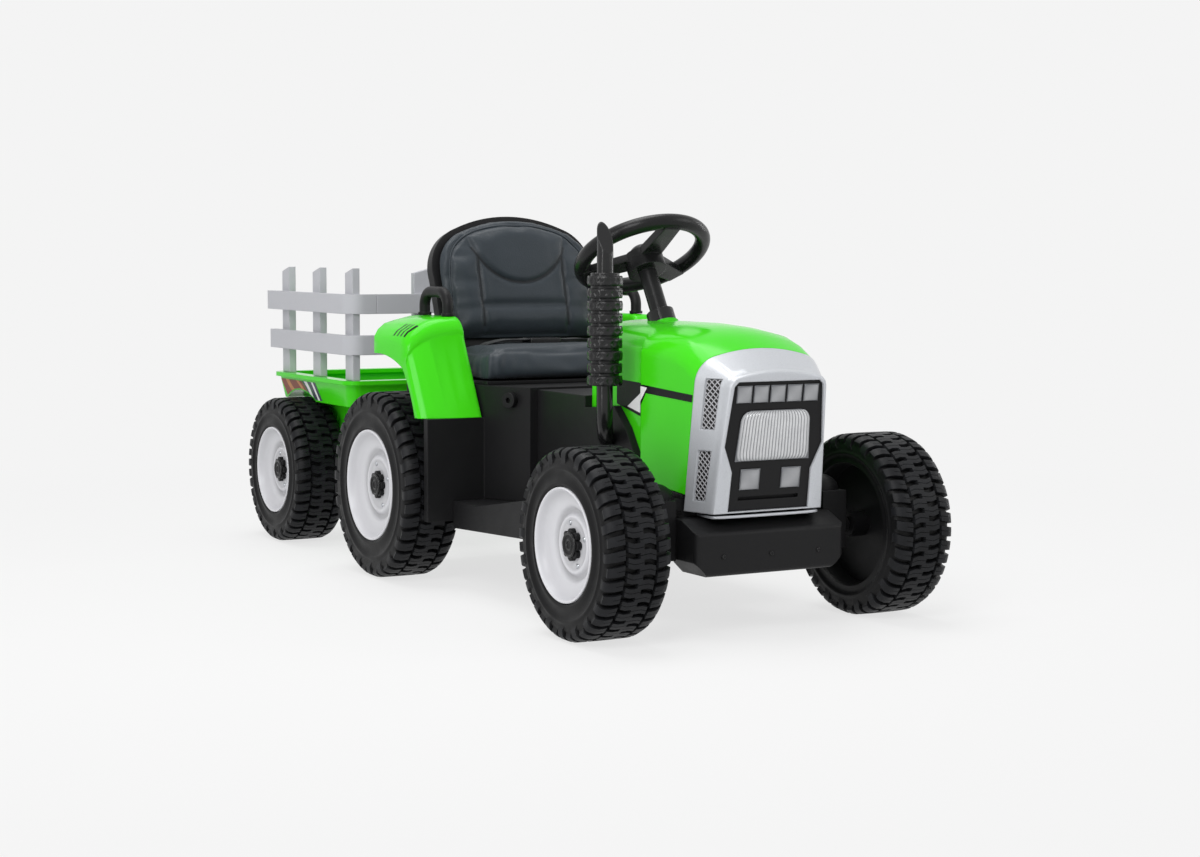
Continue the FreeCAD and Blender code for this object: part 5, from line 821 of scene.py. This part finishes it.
def head_gap(across, up):
    """Distance from the U-shaped head seam: the lower half of an ellipse that opens upwards."""
    x, z = across / HEAD_HALF, (up - HEAD_TOP) / HEAD_DROP
    slope = 2 * np.sqrt((x / HEAD_HALF) ** 2 + (z / HEAD_DROP) ** 2)
    return np.where(up < HEAD_TOP, np.abs(head_value(across, up)) / np.maximum(slope, 1e-6), 1.0)


def back_seams(across, up, width):
    """Nearness to the sewn seams from 0 to 1: border, U-shaped head seam, two upright seams."""
    total = np.maximum(bell(border_gap(across, up), width), bell(head_gap(across, up), width))
    upright = bell(np.abs(across) - UPRIGHT_SEAM, width) * (head_value(across, up) >= 0)
    return np.maximum(total, upright)


def back_dip(sizes):
    """Dips of the seat back: its sewn seams and softer channels, with a full head and fine puckers."""
    depth, width = sizes.seam_depth, sizes.seam_width

    def dip(points, normals):
        local, facing = in_back(points), (normals @ BACK_AXES.T)[:, 0]
        across, up = local[:, 1], local[:, 2]
        under = head_value(across, up) >= 0
        inside = np.abs(across) < UPRIGHT_SEAM
        wings = ~inside * under * (np.abs(across) < WING_HALF)
        total = back_seams(across, up, width)
        for (share, spread, heights), where in zip(CHANNELS, (inside, wings)):
            for height in heights:
                total = np.maximum(total, share * bell(up - height * MM, spread * width) * where)
        near = np.exp(-np.abs(np.abs(across) - UPRIGHT_SEAM) / PUCKER_REACH)
        pucker = PUCKER * np.sin(up / PUCKER_STEP) * near * under
        full = FULL * np.exp(-((across / FULL_HALF) ** 2 + ((up - FULL_MIDDLE) / FULL_RISE) ** 2) ** 2)
        return np.clip(facing, 0, 1) ** 2 * (full + pucker - depth * total)
    return dip


def border_path(corners):
    """Line of the sewn border in the back's own plane, from one foot over the arch to the other."""
    turn = np.linspace(0, math.pi, corners)
    across = -ARCH_HALF * np.sign(np.cos(turn)) * np.abs(np.cos(turn)) ** 0.8
    up = SHOULDER + ARCH_RISE * np.sin(turn) ** 0.8
    foot = np.linspace(BORDER_FOOT, SHOULDER, corners // 4, endpoint=False)
    return (np.concatenate([np.full_like(foot, -ARCH_HALF), across, np.full_like(foot, ARCH_HALF)]),
            np.concatenate([foot, up, foot[::-1]]))


class TRACTOR_OT_seat_back(Step, bpy.types.Operator):
    """Blow up the seat back's pad, sew its border, head seam and channels, and lay piping in the border"""
    bl_idname = "tractor.seat_back"
    bl_label = "Seat back"

    def build(self, context, sizes):
        rest, face, shade = 6 * MM, 20 * MM, 2.2 * MM
        pad = swollen_pad(context, "seat_back_pad", "seat_back_cover",
                          lambda points: in_back(points)[:, 0] < rest)
        pressed(pad, back_dip(sizes))
        local = in_back(points_of(pad))
        # The seam value marks where the finish paints shade along the seams of the front face.
        mark(pad.data, "seam", back_seams(local[:, 1], local[:, 2], shade) * (local[:, 0] > face))
        across, up = border_path(120)
        flat = np.stack([np.full_like(up, START["seat_back"]), across, up], axis=1)
        leaning = Matrix.Translation(BACK_FOOT) @ Matrix(BACK_AXES.T.tolist()).to_4x4()
        path = smooth_path(laid_on(pad, flat, "X", -1.0, leaning) @ BACK_AXES + BACK_FOOT, 4)
        tube = carried(path, circle_profile(sizes.piping, 10), BACK_AXES[0])
        add_piece(capped("seat_back_piping", [tube]), "pvc_leatherette", "chassis")


def cushion_dip(low, high):
    """Dips of the seat cushion: a seam round the top's edge, and soft creases at its front corners."""
    half, front = (high[1] - low[1]) / 2, high[0]
    seam_depth, seam_inset, seam_width = 1.6 * MM, 15 * MM, 3.2 * MM
    crease_height, crease_reach, crease_step = 0.7 * MM, 42 * MM, 3.2 * MM
    wave_height, wave_across, wave_along = 0.6 * MM, 23 * MM, 31 * MM

    def dip(points, normals):
        ahead, out = front - points[:, 0], half - np.abs(points[:, 1])
        facing = np.clip(normals[:, 2], 0, 1)
        seam = seam_depth * bell(np.minimum(ahead, out) - seam_inset, seam_width) * facing
        fold = np.sin((ahead - out) / crease_step)
        crease = crease_height * bell(np.hypot(ahead, out), crease_reach) * fold
        wave = wave_height * np.sin(points[:, 1] / wave_across) * np.sin(points[:, 0] / wave_along) * facing
        return crease + wave - seam
    return dip


class TRACTOR_OT_seat_cushion(Step, bpy.types.Operator):
    """Blow up the seat cushion from its solid and press in its seams"""
    bl_idname = "tractor.seat_cushion"
    bl_label = "Seat cushion"

    def build(self, context, sizes):
        low, high = box_of("seat_cushion")
        rest = low[2] + 5 * MM
        pad = swollen_pad(context, "seat_cushion", "seat_cushion_cover", lambda points: points[:, 2] < rest)
        pressed(pad, cushion_dip(low, high))


class TRACTOR_OT_lap_belt(Step, bpy.types.Operator):
    """Lay the two halves of the lap belt over the cushion, from its sides to the buckle"""
    bl_idname = "tractor.lap_belt"
    bl_label = "Lap belt"

    def build(self, context, sizes):
        low, high = box_of("lap_belt")
        pad = bpy.data.objects["seat_cushion_cover"]
        reach, middle = high[1], (low[0] + high[0]) / 2
        half_width, half_thickness, buckle = (high[0] - low[0]) / 2, 0.9 * MM, 22 * MM
        profile = np.array([(-1, 0), (-0.97, 0.8), (-0.9, 1), (0.9, 1), (0.97, 0.8), (1, 0), (0.97, -0.8),
                            (0.9, -1), (-0.9, -1), (-0.97, -0.8)]) * np.array([half_width, half_thickness])
        sway, clear, rise, slack, tuck, tuck_share = 3.5 * MM, 1.4 * MM, 4.5 * MM, 3.0 * MM, 9.0 * MM, 0.05
        halves = []
        for _, sign in HANDS:
            t = np.linspace(0, 1, 60)
            y = sign * (reach * (1 - t) + buckle * t)
            x = middle + sway * np.sin(2.6 * t + sign) * t * (1 - t) * 4
            path = laid_on(pad, np.stack([x, y, np.full_like(t, START["cushion"])], axis=1), "Z", -1.0)
            path[:, 2] += clear + rise * t ** 3 + slack * np.sin(math.pi * t) ** 2
            path[:, 2] -= tuck * np.exp(-t / tuck_share)
            path = smooth_path(path, 6)
            halves.append(carried(path, profile, AHEAD))
        add_piece(capped("lap_belt_webbing", halves), "nylon_webbing", "chassis", ["lap_belt"])


# Grille

GRILLE_FOOT = np.array([FRONT_X + 70.2 * MM, 0.0, 157 * MM])
GRILLE_AXES = lean(-8.30)
# Square lamps in mm on the slanted front: places across it, foot, width and height of each row.
LAMP_ROWS = (((-50.4, -25.2, 0.0, 25.2, 50.4), 141.0, 21.0, 21.0), ((31.0, -31.0), 29.0, 28.0, 26.0))
# Vents of the surround in mm: feet and heads, then back and front edge as length at a height, and slope.
VENT_SPANS = ((172.8, 235.2), (263.8, 326.2))
VENT_BACK, VENT_FRONT = (37.1, 178, 0.1438), (52.4, 157, 0.1459)


def on_grille(points):
    """Points of the slanted front plane, first out of it, put in place in metres."""
    return points * MM @ GRILLE_AXES + GRILLE_FOOT


def fluted_lens(flutes):
    """Wide lens: width tapers from foot to head with round corners, and rises as |sin| flutes across it. Its
    second result is painted light and shade: darker in the flute valleys and towards the rim, and lighter
    towards the head.
    """
    s, t = np.linspace(-1, 1, flutes * 8 + 1)[None, :], np.linspace(0, 1, 40)[:, None]
    foot, head, corner, half_foot, taper, rise = 66.0, 131.0, 14.0, 55.4, 4.0, 1.8
    up = foot + (head - foot) * t
    near = np.clip(corner - np.minimum(up - foot, head - up), 0, corner)
    half = half_foot - taper * t - (corner - np.sqrt(corner ** 2 - near ** 2)) * np.where(t > 0.5, 1.0, 0.45)
    rib = np.abs(np.sin((s + 1) / 2 * flutes * math.pi)) ** 0.45
    edge = np.minimum(1, 10 * (1 - np.abs(s))) * np.minimum(1, 12 * np.minimum(t, 1 - t))
    points = on_grille(np.stack([-rise + rise * rib * edge + 0 * up, s * half, up + 0 * s], axis=-1))
    return points, rib * edge ** 0.5 * (0.85 + 0.15 * t)


def square_lens(centre, foot, width, height):
    """Small lens: a pillow whose face rises by (1 - s^4)(1 - t^4) and carries a faint prism grid. Its second
    result is painted light and shade: lightest in the middle, darker towards the rim, and lighter along one
    diagonal than along the other.
    """
    s, t = np.linspace(-1, 1, 25)[None, :], np.linspace(-1, 1, 25)[:, None]
    swell, sunk, pillow = (1 - s ** 4) * (1 - t ** 4), 1.9, 1.4
    facet, facets, corner = 0.18, 3, 0.10
    prism = facet * np.abs(np.sin(facets * math.pi * s)) * np.abs(np.sin(facets * math.pi * t))
    round_x, round_y = np.sqrt(1 - corner * t ** 8), np.sqrt(1 - corner * s ** 8)
    points = on_grille(np.stack([-sunk + (pillow + prism) * swell, centre + s * round_x * width / 2,
                                 foot + height / 2 + t * round_y * height / 2], axis=-1))
    return points, swell ** 0.5 * (0.32 + 0.22 * t * s)


class TRACTOR_OT_lamps(Step, bpy.types.Operator):
    """Put fluted and pillowed faces on the lamps of the grille"""
    bl_idname = "tractor.lamps"
    bl_label = "Lamp lenses"

    def build(self, context, sizes):
        squares = [square_lens(centre, *size) for centres, *size in LAMP_ROWS for centre in centres]
        for name, faces in (("fluted_lens", [fluted_lens(sizes.flute_count)]), ("square_lenses", squares)):
            mesh = grids_mesh(name, [points for points, _ in faces])
            # Painted light and shade of the lenses, which their finish reads.
            mark(mesh, "rib", np.concatenate([rib.ravel() for _, rib in faces]))
            thicken(add_piece(mesh, "lamp_lens_silvered", "chassis"), 0.6 * MM)


class TRACTOR_OT_vents(Step, bpy.types.Operator):
    """Fill the slanted vents of the grille surround with their moulded mesh"""
    bl_idname = "tractor.vents"
    bl_label = "Vent mesh"

    def build(self, context, sizes):
        pitch, lift, height, grids, wires = sizes.vent_pitch, 0.3, 1.1, [], []
        for _, sign in HANDS:
            for foot, head in VENT_SPANS:
                corners = ((foot, VENT_BACK), (foot, VENT_FRONT), (head, VENT_FRONT), (head, VENT_BACK))
                patch = quad_patch([(FRONT_X + (ahead + (z - level) * slope) * MM, sign * START["surround"],
                                     z * MM) for z, (ahead, level, slope) in corners], 44, 132)
                laid = laid_on(frame["nodes"]["grille_surround"], patch, "Y", -sign)
                s = (patch[..., 0] + patch[..., 2]) / pitch
                t = (patch[..., 0] - patch[..., 2] * 0.8) / pitch
                wire = np.maximum(np.abs(np.cos(math.pi * s)), np.abs(np.cos(math.pi * t))) ** 12
                laid[..., 1] += sign * (lift + height * wire) * MM
                grids.append(laid[:, ::int(-sign)])
                wires.append(wire[:, ::int(-sign)])
        mesh = grids_mesh("vent_mesh", grids)
        mark(mesh, "wire", np.stack(wires))
        add_piece(mesh, "vent_mesh_grey", "chassis")


class TRACTOR_OT_grille_lip(Step, bpy.types.Operator):
    """Run a thin silver strip below the grille surround, from side to side round its front"""
    bl_idname = "tractor.grille_lip"
    bl_label = "Grille lip"

    def build(self, context, sizes):
        turn = np.linspace(-math.pi / 2, math.pi / 2, 81)
        tail, ahead, half, level = 30, 41.5, 81, 152.6
        x = tail + ahead * np.abs(np.cos(turn)) ** 0.16
        y = half * np.sign(turn) * np.abs(np.sin(turn)) ** 0.5
        path = np.stack([FRONT_X + x * MM, y * MM, np.full_like(x, level * MM)], axis=1)
        profile = circle_profile(1.0, 12) * np.array([1.3, 1.9]) * MM
        strip = carried(path, profile, AHEAD)
        add_piece(capped("grille_lip", [strip]), "silver_lacquer", "chassis")


# Exhaust, stripes and screws


class TRACTOR_OT_exhaust_bands(Step, bpy.types.Operator):
    """Wrap each ring of the exhaust sleeve in a rounded band with a row of pressed diamonds"""
    bl_idname = "tractor.exhaust_bands"
    bl_label = "Exhaust bands"

    def build(self, context, sizes):
        x, y, radius, foot, head, ring_count, diamonds = FRONT_X - 0.130, -0.125, 0.0225, 0.309, 0.456, 9, 12
        pitch, band, sunk, swell, dent, diamond = (head - foot) / ring_count, 0.78, 0.2, 1.3, 1.2, 0.34
        turn = np.linspace(0, 2 * math.pi, 168, endpoint=False)[None, :]
        t = np.linspace(0, 1, 15)[:, None]
        bands = []
        for ring in range(ring_count):
            cell = (turn / (2 * math.pi) * diamonds + 0.5 * ring) % 1.0 - 0.5
            dimple = np.exp(-(np.abs(cell / diamond) + np.abs((t - 0.5) / diamond)) ** 4)
            bulge = np.sin(math.pi * t) ** 0.5
            r = radius - sunk * MM + (swell * bulge - dent * dimple * bulge) * MM
            z = foot + ring * pitch + t * band * pitch
            bands.append(np.stack([x + r * np.cos(turn), y + r * np.sin(turn), z + 0 * turn], axis=-1))
        mesh = outward(grids_mesh("exhaust_bands", bands, around=True))
        thicken(add_piece(mesh, "gloss_pp_black", "chassis"), 0.5 * MM)


# Stripes of the hood's sides as corners of length from the front axle and height in mm, from tail to nose.
HOOD_STRIPES = (
    ("black", ((-166.4, 281.5), (-97.0, 267.0), (-63.9, 311.2), (-166.4, 314.5))),
    ("black", ((-75.4, 301.5), (38.6, 296.1), (40.1, 305.4), (-70.4, 311.4))),
    ("white", ((-138.0, 279.5), (-100.0, 272.0), (-67.4, 308.6), (-84.4, 309.8))))
# Slanted bars of a fender in mm: start ahead of the rear axle, spacing, count, and the corners of a bar.
BAR_START, BAR_PITCH, BAR_COUNT, BAR = 42, 12, 4, ((0, 235), (4, 235), (7, 214), (3, 214))
# Side panel of the tub in mm: foot, top, middle and radius of the arch over the wheel, and lean of its bands.
PANEL_FOOT, PANEL_TOP, PANEL_ARCH, PANEL_RADIUS, BAND_LEAN = 237.0, 266, 119.1, 133.5, 20
# Slanted bands of the panel: ends of the upper edge in mm from the trailer's axle.
TUB_STRIPES = (("rust", -80, -58), ("amber", -58, -44), ("rust", -44, -12), ("amber", -12, 0),
               ("rust", 0, 12), ("slate", 14, 22), ("white", 22, 36), ("slate", 38, 54), ("white", 54, 62),
               ("slate", 62, 72))


def tub_band(back, ahead, sign):
    """Slanted band from the side panel's lower edge to its top, leaning forward towards the edge.

    The edge is the larger of the panel's foot and the arch, z = middle + (radius^2 - x^2)^0.5.
    """
    s, t = np.linspace(0, 1, 12)[None, :], np.linspace(0, 1, 24)[:, None]
    x = back + (ahead - back) * s + BAND_LEAN * (1 - t)
    edge = np.maximum(PANEL_FOOT, PANEL_ARCH + np.sqrt(PANEL_RADIUS ** 2 - x ** 2))
    up = edge + (PANEL_TOP - edge) * t
    return np.stack([TRAILER_X + x * MM, np.full_like(x, sign * START["tub"]), up * MM], axis=-1)


class TRACTOR_OT_stripes(Step, bpy.types.Operator):
    """Lay plain stripe film on the hood, the fenders and the trailer's tub"""
    bl_idname = "tractor.stripes"
    bl_label = "Stripes"

    def film(self, name, target, shade, patches, axis, towards, body, lift):
        """One film of a shade, laid on a solid along an axis and lifted off it."""
        grids = [laid_on(frame["nodes"][target], patch, axis, towards) for patch in patches]
        for laid in grids:
            laid[..., "XYZ".index(axis)] -= towards * lift
        add_piece(grids_mesh(name, grids), "vinyl_film_" + shade, body)

    def build(self, context, sizes):
        lift = sizes.film_lift
        for hand, sign in HANDS:
            back, on = int(-sign), int(sign)
            for i, (shade, outline) in enumerate(HOOD_STRIPES):
                patch = quad_patch([(FRONT_X + x * MM, sign * START["hood"], z * MM) for x, z in outline],
                                   60, 16)
                self.film(f"hood_stripe_{hand}_{i}", "hood", shade, [patch[:, ::back]], "Y", -sign, "chassis",
                          lift * (2.0 if shade == "white" else 1.0))
            starts = [BAR_START + BAR_PITCH * i for i in range(BAR_COUNT)]
            bars = [quad_patch([(REAR_X + (start + x) * MM, sign * y * MM, START["fender"]) for x, y in BAR],
                               4, 24) for start in starts]
            self.film(f"fender_stripes_{hand}", f"fender_{hand}", "black", [bar[:, ::on] for bar in bars],
                      "Z", -1.0, "chassis", lift)
            for i, (shade, tail, ahead) in enumerate(TUB_STRIPES):
                self.film(f"tub_stripe_{hand}_{i}", "trailer_tub", shade,
                          [tub_band(tail, ahead, sign)[:, ::back]], "Y", -sign, "trailer", lift)


class TRACTOR_OT_screws(Step, bpy.types.Operator):
    """Seat three small screws on the bumper"""
    bl_idname = "tractor.screws"
    bl_label = "Screws"

    def build(self, context, sizes):
        screw = screw_grid(sizes.screw_radius)[..., [2, 0, 1]]
        spacing, level = 72 * MM, 104 * MM
        flat = np.array([[START["bumper"], side * spacing, level] for side in (-1, 0, 1)])
        seats = laid_on(frame["nodes"]["front_bumper"], flat, "X", -1.0)
        add_piece(rings("bumper_screws", [screw + seat for seat in seats]), "satin_pp_black", "chassis")


# Stage

# Area lights: place, aim, width and height in metres, and power in watts.
LIGHTS = {"key": ((2.6, -2.4, 2.6), (0.0, 0.0, 0.2), (1.6, 1.6), 64.0),
          "fill": ((2.2, 2.6, 1.6), (0.1, 0.0, 0.2), (1.6, 1.6), 16.0),
          "top": ((-0.3, -0.2, 2.9), (0.0, 0.0, 0.2), (2.4, 1.4), 46.0),
          "right_strip": ((1.3, -2.7, 0.8), (0.0, 0.0, 0.3), (0.16, 1.6), 11.0),
          "left_strip": ((0.1, 3.0, 0.8), (-0.2, 0.0, 0.3), (0.16, 1.6), 9.0)}
WORLD_LIGHT, FLOOR_HALF, FLOOR_DROP = 0.46, 14, 0.0005
# Camera of the photograph: place, focal length in mm, and azimuth, elevation and roll in degrees.
CAMERA_PLACE, FOCAL_LENGTH, CAMERA_TURNS = (FRONT_X + 2.3263, -1.5306, 0.4908), 64.71, (60.34, 4.826, 0.185)


class TRACTOR_OT_stage(Step, bpy.types.Operator):
    """Set the pale floor, the soft lights and the camera"""
    bl_idname = "tractor.stage"
    bl_label = "Stage"

    def build(self, context, sizes):
        scene, pale = context.scene, rgba(context.scene.tractor_colours.backdrop)
        self.floor(scene, pale)
        scene.world = bpy.data.worlds.new("studio")
        tree = self.emptied(scene.world)
        dim, bright = (add(tree, "Background", Color=pale, Strength=power) for power in (WORLD_LIGHT, 1.0))
        add(tree, "OutputWorld", Surface=add(tree, "MixShader", self.seen_rays(tree), dim, bright))
        for name, (place, aim, size, power) in LIGHTS.items():
            lamp = bpy.data.lights.new(name, "AREA")
            lamp.shape, lamp.energy = "RECTANGLE", power
            lamp.size, lamp.size_y = size
            light = bpy.data.objects.new(name, lamp)
            light.location = place
            light.rotation_euler = (Vector(aim) - Vector(place)).to_track_quat("-Z", "Y").to_euler()
            scene.collection.objects.link(light)
        scene.view_settings.view_transform = "Standard"
        self.camera(scene)

    def floor(self, scene, pale):
        """Matte floor that takes the shadow near the part and fades into the backdrop away from it."""
        s = np.linspace(-FLOOR_HALF, FLOOR_HALF, 29)
        points = np.stack(np.broadcast_arrays(s[None, :], s[:, None], -FLOOR_DROP), axis=-1)
        floor = bpy.data.objects.new("floor", grids_mesh("floor", [points]))
        scene.collection.objects.link(floor)
        material = bpy.data.materials.new("matte_paper_floor")
        tree = self.emptied(material)
        away = add(tree, "VectorMath", add(tree, "TexCoord").outputs["Object"], operation="LENGTH")
        share = add(tree, "MapRange", interpolation_type="SMOOTHSTEP", Value=away, From_Min=0.6, From_Max=1.9,
                    To_Min=0.78, To_Max=1.0)
        matte = add(tree, "BsdfDiffuse", Color=pale)
        shown = add(tree, "MixShader", share, matte, add(tree, "Emission", Color=pale, Strength=1.0))
        add(tree, "OutputMaterial", Surface=add(tree, "MixShader", self.seen_rays(tree), matte, shown))
        floor.data.materials.append(material)

    def emptied(self, item):
        """Node tree of a material or world, with none of the nodes that it starts with."""
        item.use_nodes = True
        item.node_tree.nodes.clear()
        return item.node_tree

    def seen_rays(self, tree):
        """Rays that show the backdrop itself: from the camera, in a gloss and through glass."""
        path = add(tree, "LightPath").outputs
        both = add(tree, "Math", path["Is Camera Ray"], path["Is Glossy Ray"], operation="ADD")
        return add(tree, "Math", both, path["Is Transmission Ray"], operation="ADD", use_clamp=True)

    def camera(self, scene):
        """Camera of the photograph: right, up and back axes from its azimuth, elevation and roll."""
        lens = bpy.data.cameras.new("camera")
        lens.lens, lens.sensor_width, lens.sensor_fit = FOCAL_LENGTH, 36.0, "HORIZONTAL"
        lens.clip_end = 100
        azimuth, elevation, roll = (math.radians(angle) for angle in CAMERA_TURNS)
        back = Vector((math.sin(azimuth) * math.cos(elevation), -math.cos(azimuth) * math.cos(elevation),
                       math.sin(elevation)))
        flat = Vector((math.cos(azimuth), math.sin(azimuth), 0))
        rise = back.cross(flat)
        right = flat * math.cos(roll) + rise * math.sin(roll)
        up = rise * math.cos(roll) - flat * math.sin(roll)
        camera = bpy.data.objects.new("camera", lens)
        axes = Matrix((right, up, back)).transposed().to_4x4()
        camera.matrix_world = Matrix.Translation(CAMERA_PLACE) @ axes
        scene.collection.objects.link(camera)
        scene.camera = camera


OPERATORS = (TRACTOR_OT_dress_solids, TRACTOR_OT_tyres, TRACTOR_OT_rims, TRACTOR_OT_seat_cushion,
             TRACTOR_OT_seat_back, TRACTOR_OT_lap_belt, TRACTOR_OT_lamps, TRACTOR_OT_vents,
             TRACTOR_OT_exhaust_bands, TRACTOR_OT_stripes, TRACTOR_OT_screws, TRACTOR_OT_grille_lip,
             TRACTOR_OT_stage)


class TRACTOR_PT_looks(bpy.types.Panel):
    """Panel that lists the steps, the colours and the sizes"""
    bl_label = "Ride-on tractor"
    bl_idname = "TRACTOR_PT_looks"
    bl_space_type = "VIEW_3D"
    bl_region_type = "UI"
    bl_category = "Tractor"

    def draw(self, context):
        for operator in OPERATORS:
            self.layout.operator(operator.bl_idname)
        for group in (context.scene.tractor_colours, context.scene.tractor_sizes):
            for name in group.__annotations__:
                self.layout.prop(group, name)


CLASSES = (TractorColours, TractorSizes, *OPERATORS, TRACTOR_PT_looks)


def register():
    for item in CLASSES:
        bpy.utils.register_class(item)
    bpy.types.Scene.tractor_colours = bpy.props.PointerProperty(type=TractorColours)
    bpy.types.Scene.tractor_sizes = bpy.props.PointerProperty(type=TractorSizes)


def unregister():
    del bpy.types.Scene.tractor_sizes
    del bpy.types.Scene.tractor_colours
    for item in reversed(CLASSES):
        bpy.utils.unregister_class(item)


def main():
    """Register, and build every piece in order."""
    register()
    for operator in OPERATORS:
        group, name = operator.bl_idname.split(".")
        getattr(getattr(bpy.ops, group), name)()


if __name__ == "__main__":
    main()
